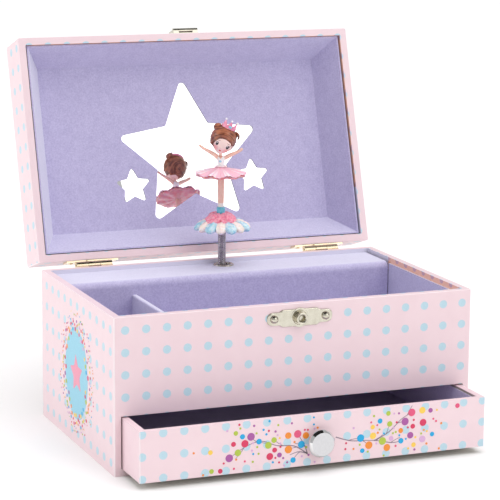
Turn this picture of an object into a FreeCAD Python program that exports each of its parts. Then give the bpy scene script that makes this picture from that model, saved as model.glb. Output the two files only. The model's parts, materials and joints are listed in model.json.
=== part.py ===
import FreeCAD, Part
import math
import os

os.makedirs("parts", exist_ok=True)

# Musical jewellery box with a drawer, a mirror lid and a spring-mounted dancer.
# Millimetres. +X right, -Y front, +Z up. The origin is the middle of the bottom face.
# Rest pose: lid open on its stop, drawer part way out, dancer upright.

V = FreeCAD.Vector
X_AXIS = V(1, 0, 0)
Y_AXIS = V(0, 1, 0)
Z_AXIS = V(0, 0, 1)
FRONT = V(0, -1, 0)

# ---------------------------------------------------------------- driving dimensions
WIDTH = 170.0
DEPTH = 107.4
HEIGHT = 70.0
BOARD = 2.9                 # wall board
PAPER = 0.3                 # cover paper, inside and outside each wall
EDGE_ROUND = 0.9            # rounding of the papered outer edges
TURN_IN = 6.0               # how far the paper turns in below a rim
FLOCK = 0.9                 # flocked card linings
GAP = 0.1                   # play between parts that slide or pass

BASE_TOP = 3.1
SLOT_TOP = 26.5
CEILING = 2.5               # board over the drawer

HOUSING_FRONT = 24.2        # front face of the back compartment
HOUSING_TOP = 68.1
HOUSING_BOARD = 2.0
HOUSING_END = 80.3
HOUSING_ROUND = 3.0
DIVIDER_X = -48.9
DIVIDER_TOP = 61.5
DIVIDER_BOARD = 2.5
LINING_TOP = 67.4

DRAWER_OUT = 22.8           # how far out the drawer stands at rest
DRAWER_HALF = 81.25
DRAWER_BOTTOM = BASE_TOP + GAP
DRAWER_TOP = 25.8
DRAWER_LENGTH = 100.0
DRAWER_BOARD = 2.4
DRAWER_FLOOR = 1.6
KNOB_X = 0.3
KNOB_Z = 13.6
KNOB_RADIUS = 6.2
KNOB_STAND = 5.6

HINGE_BACK = 2.5            # hinge axis behind the back face
HINGE_Z = HEIGHT + 0.25
LID_OPEN = 107.3            # degrees from closed
LID_HEIGHT = 21.0
LID_TOP_BOARD = 2.2
MIRROR = 0.8
LINING_CARD = 0.5
PANEL_HALF = 72.4
PANEL_FRONT = -42.0
PANEL_BACK = 39.5
LINING_HALF = 80.8
LINING_FRONT = -50.0
LINING_BACK = 49.7
LINING_DROP = 1.3           # lining edge below the lid rim

HINGE_X = 58.5
LEAF_WIDTH = 25.4
LEAF_THICK = 0.9
LEAF_REACH = 8.6
LEAF_ROUND = 1.4            # outer corners
KNUCKLE_SPAN = 17.8
KNUCKLE_RADIUS = 1.75
HINGE_PIN_RADIUS = 0.6

LATCH_X = 0.6
LATCH_Z = 63.7
LATCH_WIDTH = 31.0
LATCH_HEIGHT = 7.7
LATCH_THICK = 0.6
STUD_RADIUS = 2.8
STUD_REACH = 3.4
HASP_WIDTH = 12.6
HASP_RISE = 3.4             # hasp pivot above the lid rim

SPINDLE_X = 2.0
SPINDLE_Y = 44.5
SPRING_RADIUS = 2.0
SPRING_BORE = 1.3
SPRING_FOOT = 61.0
STAND_BOTTOM = 85.0
STAND_RADIUS = 14.0

# ---------------------------------------------------------------- derived places
HALF_W = WIDTH / 2
HALF_D = DEPTH / 2
BOARD_OUT_X = HALF_W - PAPER
BOARD_OUT_Y = HALF_D - PAPER
BOARD_IN_X = BOARD_OUT_X - BOARD
BOARD_IN_Y = BOARD_OUT_Y - BOARD
ROOM_X = BOARD_IN_X - PAPER
ROOM_Y = BOARD_IN_Y - PAPER
TRAY_FLOOR = SLOT_TOP + PAPER + CEILING
HINGE_Y = HALF_D + HINGE_BACK
LID_RIM = HINGE_Z
LID_TOP = LID_RIM + LID_HEIGHT
PANEL_Z = LID_TOP - PAPER - LID_TOP_BOARD - MIRROR - LINING_CARD
DRAWER_FACE = -HALF_D - DRAWER_OUT


# ---------------------------------------------------------------- helpers
def box(x0, x1, y0, y1, z0, z1):
    """Block between two values on each axis."""
    return Part.makeBox(x1 - x0, y1 - y0, z1 - z0, V(x0, y0, z0))


def rod(radius, start, axis, length):
    """Round bar from a point along an axis."""
    return Part.makeCylinder(radius, length, start, axis)


def tube(outer, inner, start, axis, length):
    """Round bar with a through bore."""
    return rod(outer, start, axis, length).cut(rod(inner, start, axis, length))


def lathe(profile, base, axis):
    """Solid of revolution: (radius, height) pairs turned about an axis through base."""
    points = [V(radius, 0, height) for radius, height in profile]
    face = Part.Face(Part.makePolygon(points + [points[0]]))
    solid = face.revolve(V(0, 0, 0), Z_AXIS, 360)
    solid.Placement = FreeCAD.Placement(base, FreeCAD.Rotation(Z_AXIS, axis))
    return solid


def edges_along(shape, axis, test=None):
    """Straight edges that run along an axis and pass an optional test of their midpoint."""
    picked = []
    for edge in shape.Edges:
        ends = [vertex.Point for vertex in edge.Vertexes]
        if len(ends) < 2 or not isinstance(edge.Curve, Part.Line):
            continue
        span = ends[1] - ends[0]
        if span.Length > 0 and abs(abs(span.normalize().dot(axis)) - 1) < 1e-6:
            middle = (ends[0] + ends[1]) * 0.5
            if test is None or test(middle):
                picked.append(edge)
    return picked


def gear(teeth, tip, root, start, axis, width, bore=0.0):
    """Straight-sided gear: one trapezoid tooth per pitch between the root and tip circles."""
    pitch = 2 * math.pi / teeth
    points = []
    for index in range(teeth):
        for share, radius in ((-0.30, root), (-0.14, tip), (0.14, tip), (0.30, root)):
            angle = (index + share) * pitch
            points.append(V(radius * math.cos(angle), radius * math.sin(angle), 0))
    blank = Part.Face(Part.makePolygon(points + [points[0]])).extrude(V(0, 0, width))
    if bore:
        blank = blank.cut(rod(bore, V(0, 0, 0), Z_AXIS, width))
    blank.Placement = FreeCAD.Placement(start, FreeCAD.Rotation(Z_AXIS, axis))
    return blank


def fuse(shapes):
    """One clean solid from touching or overlapping shapes."""
    return shapes[0].multiFuse(shapes[1:]).removeSplitter()


def group(shapes):
    """Several separate solids in one node."""
    return Part.makeCompound(shapes)


def opened(shape):
    """Swing a shape drawn with the lid closed to the open rest pose."""
    turned = shape.copy()
    turned.rotate(V(0, HINGE_Y, HINGE_Z), X_AXIS, -LID_OPEN)
    return turned


NODES = {}


def keep(name, shape):
    """Record one named node."""
    NODES[name] = shape


# ---------------------------------------------------------------- fasteners shared by several parts
NAIL_SHANK = 0.5
NAIL_HEAD = 1.1
NAIL_DOME = 0.5
NAIL_LENGTH = 2.6
SCREW_SHANK = 1.1
SCREW_HEAD = 2.4
SCREW_DOME = 0.9


def nail(point, outward, head=NAIL_HEAD, shank=NAIL_SHANK, length=NAIL_LENGTH, dome=NAIL_DOME):
    """Domed nail whose head rests at a point, head facing outward."""
    profile = [(0, -length), (shank * 0.6, -length), (shank, -length + shank), (shank, 0), (head, 0)]
    profile += [(head * 0.8, dome * 0.7), (head * 0.45, dome), (0, dome)]
    return lathe(profile, point, outward)


def nail_hole(point, outward, shank=NAIL_SHANK, length=NAIL_LENGTH):
    """Clearance for a nail: it reaches past both sides of what the nail goes through."""
    start = point - outward * (length + 0.05)
    return rod(shank + 0.02, start, outward, length + 3.0)


def leaf_nail_points(z_offset):
    """Places of the four nails in the two leaves on one side of the hinge axis."""
    across = LEAF_WIDTH / 2 - 3.2
    centres = [side * HINGE_X + step * across for side in (-1, 1) for step in (-1, 1)]
    return [V(x, HALF_D + LEAF_THICK, HINGE_Z + z_offset) for x in centres]


BOX_LEAF_NAILS = leaf_nail_points(-5.6)
LID_LEAF_NAILS = leaf_nail_points(5.6)
LATCH_NAILS = [V(LATCH_X + side * 12.2, -HALF_D - LATCH_THICK, LATCH_Z) for side in (-1, 1)]
HASP_NAILS = [V(LATCH_X + side * 3.6, -HALF_D - LATCH_THICK, LID_RIM + 11.4) for side in (-1, 1)]

# Movement, placed behind the back compartment's cover.
PLATE_FRONT = 48.9
PLATE_BACK = BOARD_IN_Y
CYL_Y = SPINDLE_Y
CYL_Z = 46.0
BARREL_X = -38.0
MOUNT_SCREWS = [V(x, HALF_D, z) for x, z in ((-48.5, 34.5), (-48.5, 58.2), (6.2, 33.4))]


# ---------------------------------------------------------------- box carcass
def through_back(shape):
    """Cut the back wall's holes: leaf nails, movement screws and the winding arbor."""
    cutters = [nail_hole(point, Y_AXIS) for point in BOX_LEAF_NAILS]
    cutters += [rod(SCREW_SHANK + 0.05, point - Y_AXIS * 6, Y_AXIS, 9) for point in MOUNT_SCREWS]
    cutters.append(rod(3.4, V(BARREL_X, HALF_D - 6, CYL_Z), Y_AXIS, 9))
    return shape.cut(Part.makeCompound(cutters))


def through_front(shape):
    """Cut the front wall's holes: latch nails and the stud's rivet."""
    cutters = [nail_hole(point, FRONT) for point in LATCH_NAILS]
    cutters.append(rod(1.02, V(LATCH_X, -HALF_D - 3, LATCH_Z), Y_AXIS, 5.1))
    return shape.cut(Part.makeCompound(cutters))


def round_ends(board):
    """Round a side board's outer upright corners to fit inside the rounded paper."""
    outer = edges_along(board, Z_AXIS, lambda m: abs(m.x) > BOARD_OUT_X - 0.1)
    return board.makeFillet(EDGE_ROUND - PAPER, outer)


def box_boards():
    """Bottom, sides, back, front apron and the board over the drawer."""
    top = HEIGHT - PAPER
    keep("bottom_board", box(-BOARD_IN_X, BOARD_IN_X, -BOARD_OUT_Y, BOARD_OUT_Y, 0, BASE_TOP))
    sides = [box(x0, x0 + BOARD, -BOARD_OUT_Y, BOARD_OUT_Y, 0, top) for x0 in (-BOARD_OUT_X, BOARD_IN_X)]
    keep("side_boards", group([round_ends(side) for side in sides]))
    back = box(-BOARD_IN_X, BOARD_IN_X, BOARD_IN_Y, BOARD_OUT_Y, BASE_TOP, top)
    keep("back_board", through_back(back))
    front = box(-BOARD_IN_X, BOARD_IN_X, -BOARD_OUT_Y, -BOARD_IN_Y, SLOT_TOP + PAPER, top)
    keep("front_board", through_front(front))
    ceiling = box(-BOARD_IN_X, BOARD_IN_X, -BOARD_IN_Y, BOARD_IN_Y, SLOT_TOP + PAPER, TRAY_FLOOR)
    keep("drawer_ceiling", ceiling)


def paper_skin(bottom, top, turn_z):
    """Paper over four walls and their rim at top, turned in down to turn_z."""
    outer = box(-HALF_W, HALF_W, -HALF_D, HALF_D, bottom, top)
    outer = outer.makeFillet(EDGE_ROUND, edges_along(outer, Z_AXIS))
    rim = [e for e in outer.Edges if abs(e.BoundBox.ZMin - top) < 1e-6 and abs(e.BoundBox.ZMax - top) < 1e-6]
    outer = outer.makeFillet(PAPER * 0.9, rim)
    boards = box(-BOARD_OUT_X, BOARD_OUT_X, -BOARD_OUT_Y, BOARD_OUT_Y, bottom, top - PAPER)
    boards = boards.makeFillet(EDGE_ROUND - PAPER, edges_along(boards, Z_AXIS))
    boards = boards.cut(box(-ROOM_X, ROOM_X, -ROOM_Y, ROOM_Y, bottom, top))
    inner_skin = box(-BOARD_IN_X, BOARD_IN_X, -BOARD_IN_Y, BOARD_IN_Y, turn_z, top)
    room = box(-ROOM_X, ROOM_X, -ROOM_Y, ROOM_Y, bottom - 1, top + 1)
    low = box(-ROOM_X - 1, ROOM_X + 1, -ROOM_Y - 1, ROOM_Y + 1, bottom - 1, turn_z)
    return outer.cut(boards.cut(inner_skin)).cut(room).cut(low)


def box_paper():
    """Printed cover of the box, open over the drawer slot."""
    skin = paper_skin(0, HEIGHT, HEIGHT - TURN_IN)
    skin = skin.cut(box(-BOARD_IN_X, BOARD_IN_X, -HALF_D - 1, -HALF_D + 1, BASE_TOP, SLOT_TOP))
    hem = box(-BOARD_IN_X, BOARD_IN_X, -BOARD_OUT_Y, -BOARD_IN_Y, SLOT_TOP, SLOT_TOP + PAPER)
    skin = fuse([skin, hem])
    return through_front(through_back(skin))


def tray_linings():
    """Flocked card on the tray's floor and walls."""
    floor_z = TRAY_FLOOR
    keep("tray_floor", box(-BOARD_IN_X, BOARD_IN_X, -BOARD_IN_Y, HOUSING_FRONT, floor_z, floor_z + FLOCK))
    low = floor_z + FLOCK
    reach = ROOM_X - FLOCK
    walls = [box(x0, x0 + FLOCK, -ROOM_Y, HOUSING_FRONT, low, LINING_TOP) for x0 in (-ROOM_X, reach)]
    walls.append(box(-reach, reach, -ROOM_Y, -ROOM_Y + FLOCK, low, LINING_TOP))
    keep("tray_wall_linings", group(walls))
    half = DIVIDER_BOARD / 2
    y_front = -ROOM_Y + FLOCK
    board = box(DIVIDER_X - half, DIVIDER_X + half, y_front, HOUSING_FRONT, low, DIVIDER_TOP)
    top_edges = edges_along(board, Y_AXIS, lambda m: m.z > DIVIDER_TOP - 0.01)
    keep("tray_divider", board.makeFillet(0.8, top_edges))


EYELET_X = SPINDLE_X + 0.9
EYELET_RADIUS = 4.9
EYELET_BORE = 3.3
EYELET_TUBE = 3.8


def housing():
    """Bent flocked cover over the movement, and the eyelet round the spring."""
    low = TRAY_FLOOR
    front = box(-HOUSING_END, HOUSING_END, HOUSING_FRONT, ROOM_Y, low, HOUSING_TOP)
    bend = edges_along(front, X_AXIS, lambda m: m.z > low + 1 and m.y < HOUSING_FRONT + 1)
    front = front.makeFillet(HOUSING_ROUND, bend)
    hollow = box(-HOUSING_END - 1, HOUSING_END + 1, HOUSING_FRONT + HOUSING_BOARD, ROOM_Y + 1,
                 low - 1, HOUSING_TOP - HOUSING_BOARD)
    bend = edges_along(hollow, X_AXIS, lambda m: m.z > low and m.y < HOUSING_FRONT + HOUSING_BOARD + 1)
    hollow = hollow.makeFillet(HOUSING_ROUND - HOUSING_BOARD, bend)
    eyelet_hole = rod(EYELET_TUBE, V(EYELET_X, SPINDLE_Y, HOUSING_TOP - 5), Z_AXIS, 10)
    keep("compartment_cover", front.cut(hollow).cut(eyelet_hole))
    profile = [(EYELET_BORE, -3.0), (EYELET_TUBE, -3.0), (EYELET_TUBE, 0), (EYELET_RADIUS, 0)]
    profile += [(EYELET_RADIUS - 0.3, 0.6), (EYELET_BORE + 0.5, 0.8), (EYELET_BORE, 0.4)]
    keep("spring_eyelet", lathe(profile, V(EYELET_X, SPINDLE_Y, HOUSING_TOP), Z_AXIS))


# ---------------------------------------------------------------- latch
def latch():
    """Stamped plate with a riveted hollow stud on the box front, and its two nails."""
    back = -HALF_D
    outline = []
    half_w = LATCH_WIDTH / 2
    half_h = LATCH_HEIGHT / 2
    waist = half_h * 0.62
    for x, z in ((-half_w, -waist), (-8.6, -waist), (-7.2, -half_h), (7.2, -half_h), (8.6, -waist),
                 (half_w, -waist), (half_w, waist), (8.6, waist), (7.2, half_h), (-7.2, half_h),
                 (-8.6, waist), (-half_w, waist)):
        outline.append(V(LATCH_X + x, back, LATCH_Z + z))
    plate = Part.Face(Part.makePolygon(outline + [outline[0]])).extrude(FRONT * LATCH_THICK)
    ends = edges_along(plate, Y_AXIS, lambda m: abs(abs(m.x - LATCH_X) - half_w) < 0.1)
    plate = plate.makeFillet(waist * 0.95, ends)
    plate = plate.cut(Part.makeCompound([nail_hole(point, FRONT) for point in LATCH_NAILS]))
    stud = [(0, -2.0), (1.0, -2.0), (1.0, 0), (STUD_RADIUS, 0), (STUD_RADIUS - 0.5, 0.9)]
    stud += [(STUD_RADIUS - 0.5, STUD_REACH - 1.0), (STUD_RADIUS - 0.1, STUD_REACH - 0.3)]
    stud += [(STUD_RADIUS - 0.5, STUD_REACH), (1.3, STUD_REACH)]
    stud += [(1.1, STUD_REACH - 1.2), (0, STUD_REACH - 1.2)]
    plate = fuse([plate, lathe(stud, V(LATCH_X, back - LATCH_THICK, LATCH_Z), FRONT)])
    keep("latch_plate", plate)
    keep("latch_nails", group([nail(point, FRONT, head=1.9, dome=0.9) for point in LATCH_NAILS]))


# ---------------------------------------------------------------- hinges
def knuckle(side, index):
    """One of a hinge's three knuckles."""
    part = KNUCKLE_SPAN / 3
    play = 0.08
    start = side * HINGE_X - KNUCKLE_SPAN / 2 + index * part + play
    centre = V(start, HINGE_Y, HINGE_Z)
    return tube(KNUCKLE_RADIUS, HINGE_PIN_RADIUS + 0.04, centre, X_AXIS, part - 2 * play)


def leaf(side, direction, own, nails):
    """Leaf above (+1) or below (-1) the axis with its own knuckles curled round the pin."""
    part = KNUCKLE_SPAN / 3
    low = HINGE_Z + direction * 1.05
    high = HINGE_Z + direction * LEAF_REACH
    z0, z1 = sorted((low, high))
    left = side * HINGE_X - LEAF_WIDTH / 2
    plate = box(left, left + LEAF_WIDTH, HALF_D, HALF_D + LEAF_THICK, z0, z1)
    plate = plate.makeFillet(LEAF_ROUND, edges_along(plate, Y_AXIS, lambda m: abs(m.z - high) < 0.01))
    pieces = [plate]
    for index in own:
        start = side * HINGE_X - KNUCKLE_SPAN / 2 + index * part + 0.08
        web0, web1 = sorted((HINGE_Z, HINGE_Z + direction * 1.4))
        pieces.append(box(start, start + part - 0.16, HALF_D + 0.2, HINGE_Y - 0.7, web0, web1))
        pieces.append(knuckle(side, index))
    bore = rod(HINGE_PIN_RADIUS + 0.04, V(side * HINGE_X - 20, HINGE_Y, HINGE_Z), X_AXIS, 40)
    cutters = [nail_hole(point, Y_AXIS) for point in nails] + [bore]
    return fuse(pieces).cut(Part.makeCompound(cutters))


def hinges():
    """Two butt hinges: box leaves, lid leaves, pins and nails."""
    keep("hinge_box_leaves", group([leaf(side, -1, (0, 2), BOX_LEAF_NAILS) for side in (-1, 1)]))
    keep("hinge_lid_leaves", opened(group([leaf(side, 1, (1,), LID_LEAF_NAILS) for side in (-1, 1)])))
    length = KNUCKLE_SPAN + 0.4
    pins = [rod(HINGE_PIN_RADIUS, V(side * HINGE_X - length / 2, HINGE_Y, HINGE_Z), X_AXIS, length)
            for side in (-1, 1)]
    keep("hinge_pins", group(pins))
    keep("hinge_box_nails", group([nail(point, Y_AXIS) for point in BOX_LEAF_NAILS]))
    keep("hinge_lid_nails", opened(group([nail(point, Y_AXIS) for point in LID_LEAF_NAILS])))


# ---------------------------------------------------------------- lid
def star_outline(centre_x, centre_y, tip, notch, turn):
    """Ten corners of a five-pointed star; turn is degrees away from pointing to the lid's front."""
    points = []
    for index in range(10):
        radius = tip if index % 2 == 0 else notch
        angle = math.radians(turn + 36 * index - 90)
        points.append(V(centre_x + radius * math.cos(angle), centre_y + radius * math.sin(angle), 0))
    return points


def star_window(centre_x, centre_y, tip, notch, turn, tip_round):
    """Cutter for one star window, with rounded tips."""
    points = star_outline(centre_x, centre_y, tip, notch, turn)
    star = Part.Face(Part.makePolygon(points + [points[0]])).extrude(V(0, 0, 6))
    middle = V(centre_x, centre_y, 3)
    mean = (tip + notch) / 2
    tips = edges_along(star, Z_AXIS, lambda m: (m - middle).Length > mean)
    star = star.makeFillet(tip_round, tips)
    notches = edges_along(star, Z_AXIS, lambda m: (m - middle).Length < notch * 1.02)
    star = star.makeFillet(tip_round * 0.5, notches)
    star.translate(V(0, 0, PANEL_Z - 3))
    return star


STARS = (
    # centre x, centre y, tip radius, notch radius, turn, tip rounding
    (2.2, 4.0, 39.0, 19.1, -1.7, 2.0),
    (-28.9, 18.0, 9.7, 4.9, -1.5, 0.9),
    (33.7, 15.9, 9.6, 4.9, -1.1, 0.9),
)


LINING_WALL = 0.75           # sloping lining card, measured level
LINING_RIM = LID_RIM + LINING_DROP


def corners(half, front, back, z):
    """Corners of a level rectangle, going round from the front left."""
    return [V(-half, front, z), V(half, front, z), V(half, back, z), V(-half, back, z)]


def lining_block(shrink, top):
    """Sloping block from the lining's rim up to top, made smaller by shrink all round."""
    rise = (top - LINING_RIM) / (PANEL_Z + LINING_CARD - LINING_RIM)
    half = LINING_HALF + (PANEL_HALF - LINING_HALF) * rise - shrink
    front = LINING_FRONT + (PANEL_FRONT - LINING_FRONT) * rise + shrink
    back = LINING_BACK + (PANEL_BACK - LINING_BACK) * rise - shrink
    rim = corners(LINING_HALF - shrink, LINING_FRONT + shrink, LINING_BACK - shrink, LINING_RIM)
    deck = corners(half, front, back, top)
    wires = [Part.makePolygon(points + [points[0]]) for points in (rim, deck)]
    return Part.makeLoft(wires, True, True)


def lining_walls():
    """The four sloping faces of the folded card, mitred where they meet."""
    ring = lining_block(0, PANEL_Z).cut(lining_block(LINING_WALL, PANEL_Z))
    rim = corners(LINING_HALF, LINING_FRONT, LINING_BACK, LINING_RIM)
    deck = corners(PANEL_HALF, PANEL_FRONT, PANEL_BACK, LINING_RIM)
    inner = [inside + (inside - outside) * 0.5 for outside, inside in zip(rim, deck)]
    walls = []
    for index in range(4):
        after = (index + 1) % 4
        plan = [rim[index], rim[after], inner[after], inner[index]]
        region = Part.Face(Part.makePolygon(plan + [plan[0]])).extrude(V(0, 0, LID_HEIGHT))
        walls += ring.common(region).Solids
    return walls


def lid_boards():
    """Top board and four walls."""
    low = LID_RIM + PAPER
    deck = LID_TOP - PAPER - LID_TOP_BOARD
    top = box(-BOARD_OUT_X, BOARD_OUT_X, -BOARD_OUT_Y, BOARD_OUT_Y, deck, LID_TOP - PAPER)
    keep("lid_top_board", opened(top.makeFillet(EDGE_ROUND - PAPER, edges_along(top, Z_AXIS))))
    walls = [round_ends(box(x0, x0 + BOARD, -BOARD_OUT_Y, BOARD_OUT_Y, low, deck))
             for x0 in (-BOARD_OUT_X, BOARD_IN_X)]
    back = box(-BOARD_IN_X, BOARD_IN_X, BOARD_IN_Y, BOARD_OUT_Y, low, deck)
    back = back.cut(Part.makeCompound([nail_hole(point, Y_AXIS) for point in LID_LEAF_NAILS]))
    front = box(-BOARD_IN_X, BOARD_IN_X, -BOARD_OUT_Y, -BOARD_IN_Y, low, deck)
    front = front.cut(Part.makeCompound([nail_hole(point, FRONT) for point in HASP_NAILS]))
    keep("lid_wall_boards", opened(group(walls + [back, front])))


def lid_paper():
    """Printed cover of the lid: top, walls, rim and turn-in."""
    outer = box(-HALF_W, HALF_W, -HALF_D, HALF_D, LID_RIM, LID_TOP)
    outer = outer.makeFillet(EDGE_ROUND, edges_along(outer, Z_AXIS))
    flat = [e for e in outer.Edges if e.BoundBox.ZMax - e.BoundBox.ZMin < 1e-6]
    upper = [e for e in flat if e.BoundBox.ZMax > LID_TOP - 0.01]
    outer = outer.makeFillet(PAPER * 0.9, upper)
    lower = [e for e in outer.Edges if e.BoundBox.ZMax < LID_RIM + 0.01]
    outer = outer.makeFillet(PAPER * 0.9, lower)
    boards = box(-BOARD_OUT_X, BOARD_OUT_X, -BOARD_OUT_Y, BOARD_OUT_Y, LID_RIM + PAPER, LID_TOP - PAPER)
    boards = boards.makeFillet(EDGE_ROUND - PAPER, edges_along(boards, Z_AXIS))
    room = box(-ROOM_X, ROOM_X, -ROOM_Y, ROOM_Y, LID_RIM - 1, LID_TOP - PAPER)
    wide_room = box(-BOARD_IN_X, BOARD_IN_X, -BOARD_IN_Y, BOARD_IN_Y, LID_RIM + TURN_IN, LID_TOP - PAPER)
    turn_in = box(-BOARD_IN_X, BOARD_IN_X, -BOARD_IN_Y, BOARD_IN_Y, LID_RIM, LID_RIM + TURN_IN)
    skin = outer.cut(boards.cut(turn_in)).cut(room).cut(wide_room)
    cutters = [nail_hole(point, Y_AXIS) for point in LID_LEAF_NAILS]
    cutters += [nail_hole(point, FRONT) for point in HASP_NAILS]
    return opened(skin.cut(Part.makeCompound(cutters)))


def lid_lining():
    """Folded flocked card with three star windows in its panel, and the mirror behind it."""
    deck = PANEL_Z + LINING_CARD
    panel = lining_block(0, deck).cut(box(-HALF_W, HALF_W, -HALF_D, HALF_D, LID_RIM, PANEL_Z))
    for centre_x, centre_y, tip, notch, turn, tip_round in STARS:
        panel = panel.cut(star_window(centre_x, centre_y, tip, notch, turn, tip_round))
    keep("lid_lining", opened(group([panel] + lining_walls())))
    z0 = PANEL_Z + LINING_CARD
    mirror = box(-PANEL_HALF, PANEL_HALF, PANEL_FRONT, PANEL_BACK, z0, z0 + MIRROR)
    keep("lid_mirror", opened(mirror))


HASP_PIVOT = V(LATCH_X, -HALF_D - 1.9, LID_RIM + HASP_RISE)
HASP_KNUCKLE = 1.15
HASP_THICK = 0.7
HASP_REACH = 12.6


def hasp():
    """Hinged half of the latch on the lid's front wall, its tab folded back on the plate."""
    pivot = HASP_PIVOT
    half = HASP_WIDTH / 2
    plate = box(pivot.x - half, pivot.x + half, -HALF_D - LATCH_THICK, -HALF_D, pivot.z - 1.6, LID_RIM + 14.2)
    plate = plate.makeFillet(2.0, edges_along(plate, Y_AXIS, lambda m: m.z > LID_RIM + 10))
    ear = HASP_WIDTH * 0.22
    bore = rod(0.54, V(pivot.x - 10, pivot.y, pivot.z), X_AXIS, 20)
    pieces = [plate]
    for x0 in (pivot.x - half, pivot.x + half - ear):
        pieces.append(rod(HASP_KNUCKLE, V(x0, pivot.y, pivot.z), X_AXIS, ear))
        pieces.append(box(x0, x0 + ear, pivot.y, -HALF_D - 0.3, pivot.z - 1.15, pivot.z))
    cutters = [nail_hole(point, FRONT) for point in HASP_NAILS] + [bore]
    keep("hasp_plate", opened(fuse(pieces).cut(Part.makeCompound(cutters))))
    keep("hasp_nails", opened(group([nail(point, FRONT, head=1.0, dome=0.4) for point in HASP_NAILS])))
    keep("hasp_pin", opened(rod(0.5, V(pivot.x - half, pivot.y, pivot.z), X_AXIS, HASP_WIDTH)))
    inner = half - ear - 0.1
    y_near = pivot.y - HASP_KNUCKLE
    barrel = rod(HASP_KNUCKLE, V(pivot.x - inner, pivot.y, pivot.z), X_AXIS, 2 * inner)
    neck = box(pivot.x - inner, pivot.x + inner, y_near, y_near + HASP_THICK, pivot.z, pivot.z + 3.2)
    tab = box(pivot.x - 4.9, pivot.x + 4.9, y_near, y_near + HASP_THICK, pivot.z + 1.5, pivot.z + HASP_REACH)
    tab = tab.makeFillet(3.6, edges_along(tab, Y_AXIS, lambda m: m.z > pivot.z + HASP_REACH - 1))
    eye_z = pivot.z + (LID_RIM + HASP_RISE - LATCH_Z)
    eye = rod(STUD_RADIUS + 0.35, V(pivot.x, y_near - 1, eye_z), Y_AXIS, 3)
    keep("hasp_tab", opened(fuse([barrel, neck, tab]).cut(bore).cut(eye)))


# ---------------------------------------------------------------- drawer
def drawer():
    """Five boards, printed front paper, plain side paper, flocked inside and the knob."""
    face = DRAWER_FACE
    tail = face + DRAWER_LENGTH
    out_x = DRAWER_HALF - PAPER
    in_x = out_x - DRAWER_BOARD
    front_y = face + PAPER
    front_in = front_y + DRAWER_BOARD
    top = DRAWER_TOP - PAPER
    low = DRAWER_BOTTOM
    screw = rod(1.0, V(KNOB_X, face - 1, KNOB_Z), Y_AXIS, 9)
    keep("drawer_front", box(-out_x, out_x, front_y, front_in, low, top).cut(screw))
    walls = [box(x0, x0 + DRAWER_BOARD, front_in, tail - PAPER, low, top) for x0 in (-out_x, in_x)]
    walls.append(box(-in_x, in_x, tail - PAPER - DRAWER_BOARD, tail - PAPER, low, top))
    keep("drawer_wall_boards", group(walls))
    keep("drawer_bottom", box(-in_x, in_x, front_in, tail - PAPER - DRAWER_BOARD, low, low + DRAWER_FLOOR))
    half = DRAWER_HALF
    front_skin = box(-half, half, face, front_in, low, DRAWER_TOP)
    front_skin = front_skin.makeFillet(0.5, edges_along(front_skin, Z_AXIS, lambda m: m.y < face + 0.1))
    front_skin = front_skin.cut(box(-out_x, out_x, front_y, front_in + 1, low - 1, top))
    keep("drawer_front_paper", front_skin.cut(screw))
    side_skin = box(-half, half, front_in, tail, low, DRAWER_TOP)
    side_skin = side_skin.cut(box(-out_x, out_x, front_in - 1, tail - PAPER, low - 1, top))
    back_in = tail - PAPER - DRAWER_BOARD
    inside = box(-in_x + PAPER, in_x - PAPER, front_in - 1, back_in - PAPER, low - 1, DRAWER_TOP + 1)
    keep("drawer_side_paper", side_skin.cut(inside))
    floor = low + DRAWER_FLOOR
    card = FLOCK * 0.8
    outer = box(-in_x, in_x, front_in, back_in, floor, top - 1.0)
    inner = box(-in_x + card, in_x - card, front_in + card, back_in - card, floor + card, top)
    head = rod(2.6, V(KNOB_X, front_in - 1, KNOB_Z), Y_AXIS, 3)
    keep("drawer_lining", outer.cut(inner).cut(head))
    base = V(KNOB_X, face, KNOB_Z)
    knob = [(1.0, 0.0), (3.0, 0.0), (2.6, 1.2), (3.0, 2.4), (KNOB_RADIUS - 0.5, 3.4), (KNOB_RADIUS, 4.2)]
    knob += [(KNOB_RADIUS - 0.1, 4.8), (KNOB_RADIUS - 1.0, KNOB_STAND), (0, KNOB_STAND), (0, 4.0), (1.0, 4.0)]
    keep("drawer_knob", lathe(knob, base, FRONT))
    inside_face = front_in + 0.05
    screw_end = DRAWER_BOARD + PAPER + 3.6
    screw_profile = [(0, -1.2), (2.4, -1.2), (2.4, -0.2), (2.0, 0), (0.95, 0)]
    screw_profile += [(0.95, screw_end), (0, screw_end)]
    keep("knob_screw", lathe(screw_profile, V(KNOB_X, inside_face, KNOB_Z), FRONT))



# ---------------------------------------------------------------- musical movement
ARBOR = 0.8                 # radius of the small arbors
RUN = 0.04                  # radial running clearance
PLATE_X = (-52.0, 9.4)
PLATE_Z = (31.0, 63.0)
PLATE_ROUND = 2.0
WINDOW_X = (-24.2, -0.2)    # window in the plate for the cylinder and its wheels
WINDOW_Z = (39.8, 52.2)
BEARING_FRONT = 42.0
LEFT_BEARING = (-26.6, -25.4)
RIGHT_BEARING = (-5.2, -4.0)
SPINDLE_ARM_X = (0.4, 5.6)
SPINDLE_ARM_Z = (36.0, 58.0)
SPINDLE_ARM_FRONT = 41.8
SPINDLE_ARM_THICK = 1.4

BARREL_FRONT = 33.6
BARREL_BACK = 41.7
BARREL_RADIUS = 10.4
BARREL_WALL = 0.8
WIND_RADIUS = 1.9           # winding arbor
ARBOR_FRONT = 31.2
BRIDGE_Y = (31.6, 33.0)
BRIDGE_HALF = 13.4
BRIDGE_RISE = 2.6
COIL_START = 3.0            # mainspring: first radius, growth per turn, half the strip's thickness
COIL_STEP = 0.55
COIL_STRIP = 0.11
COIL_WIDTH = 5.0

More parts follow.
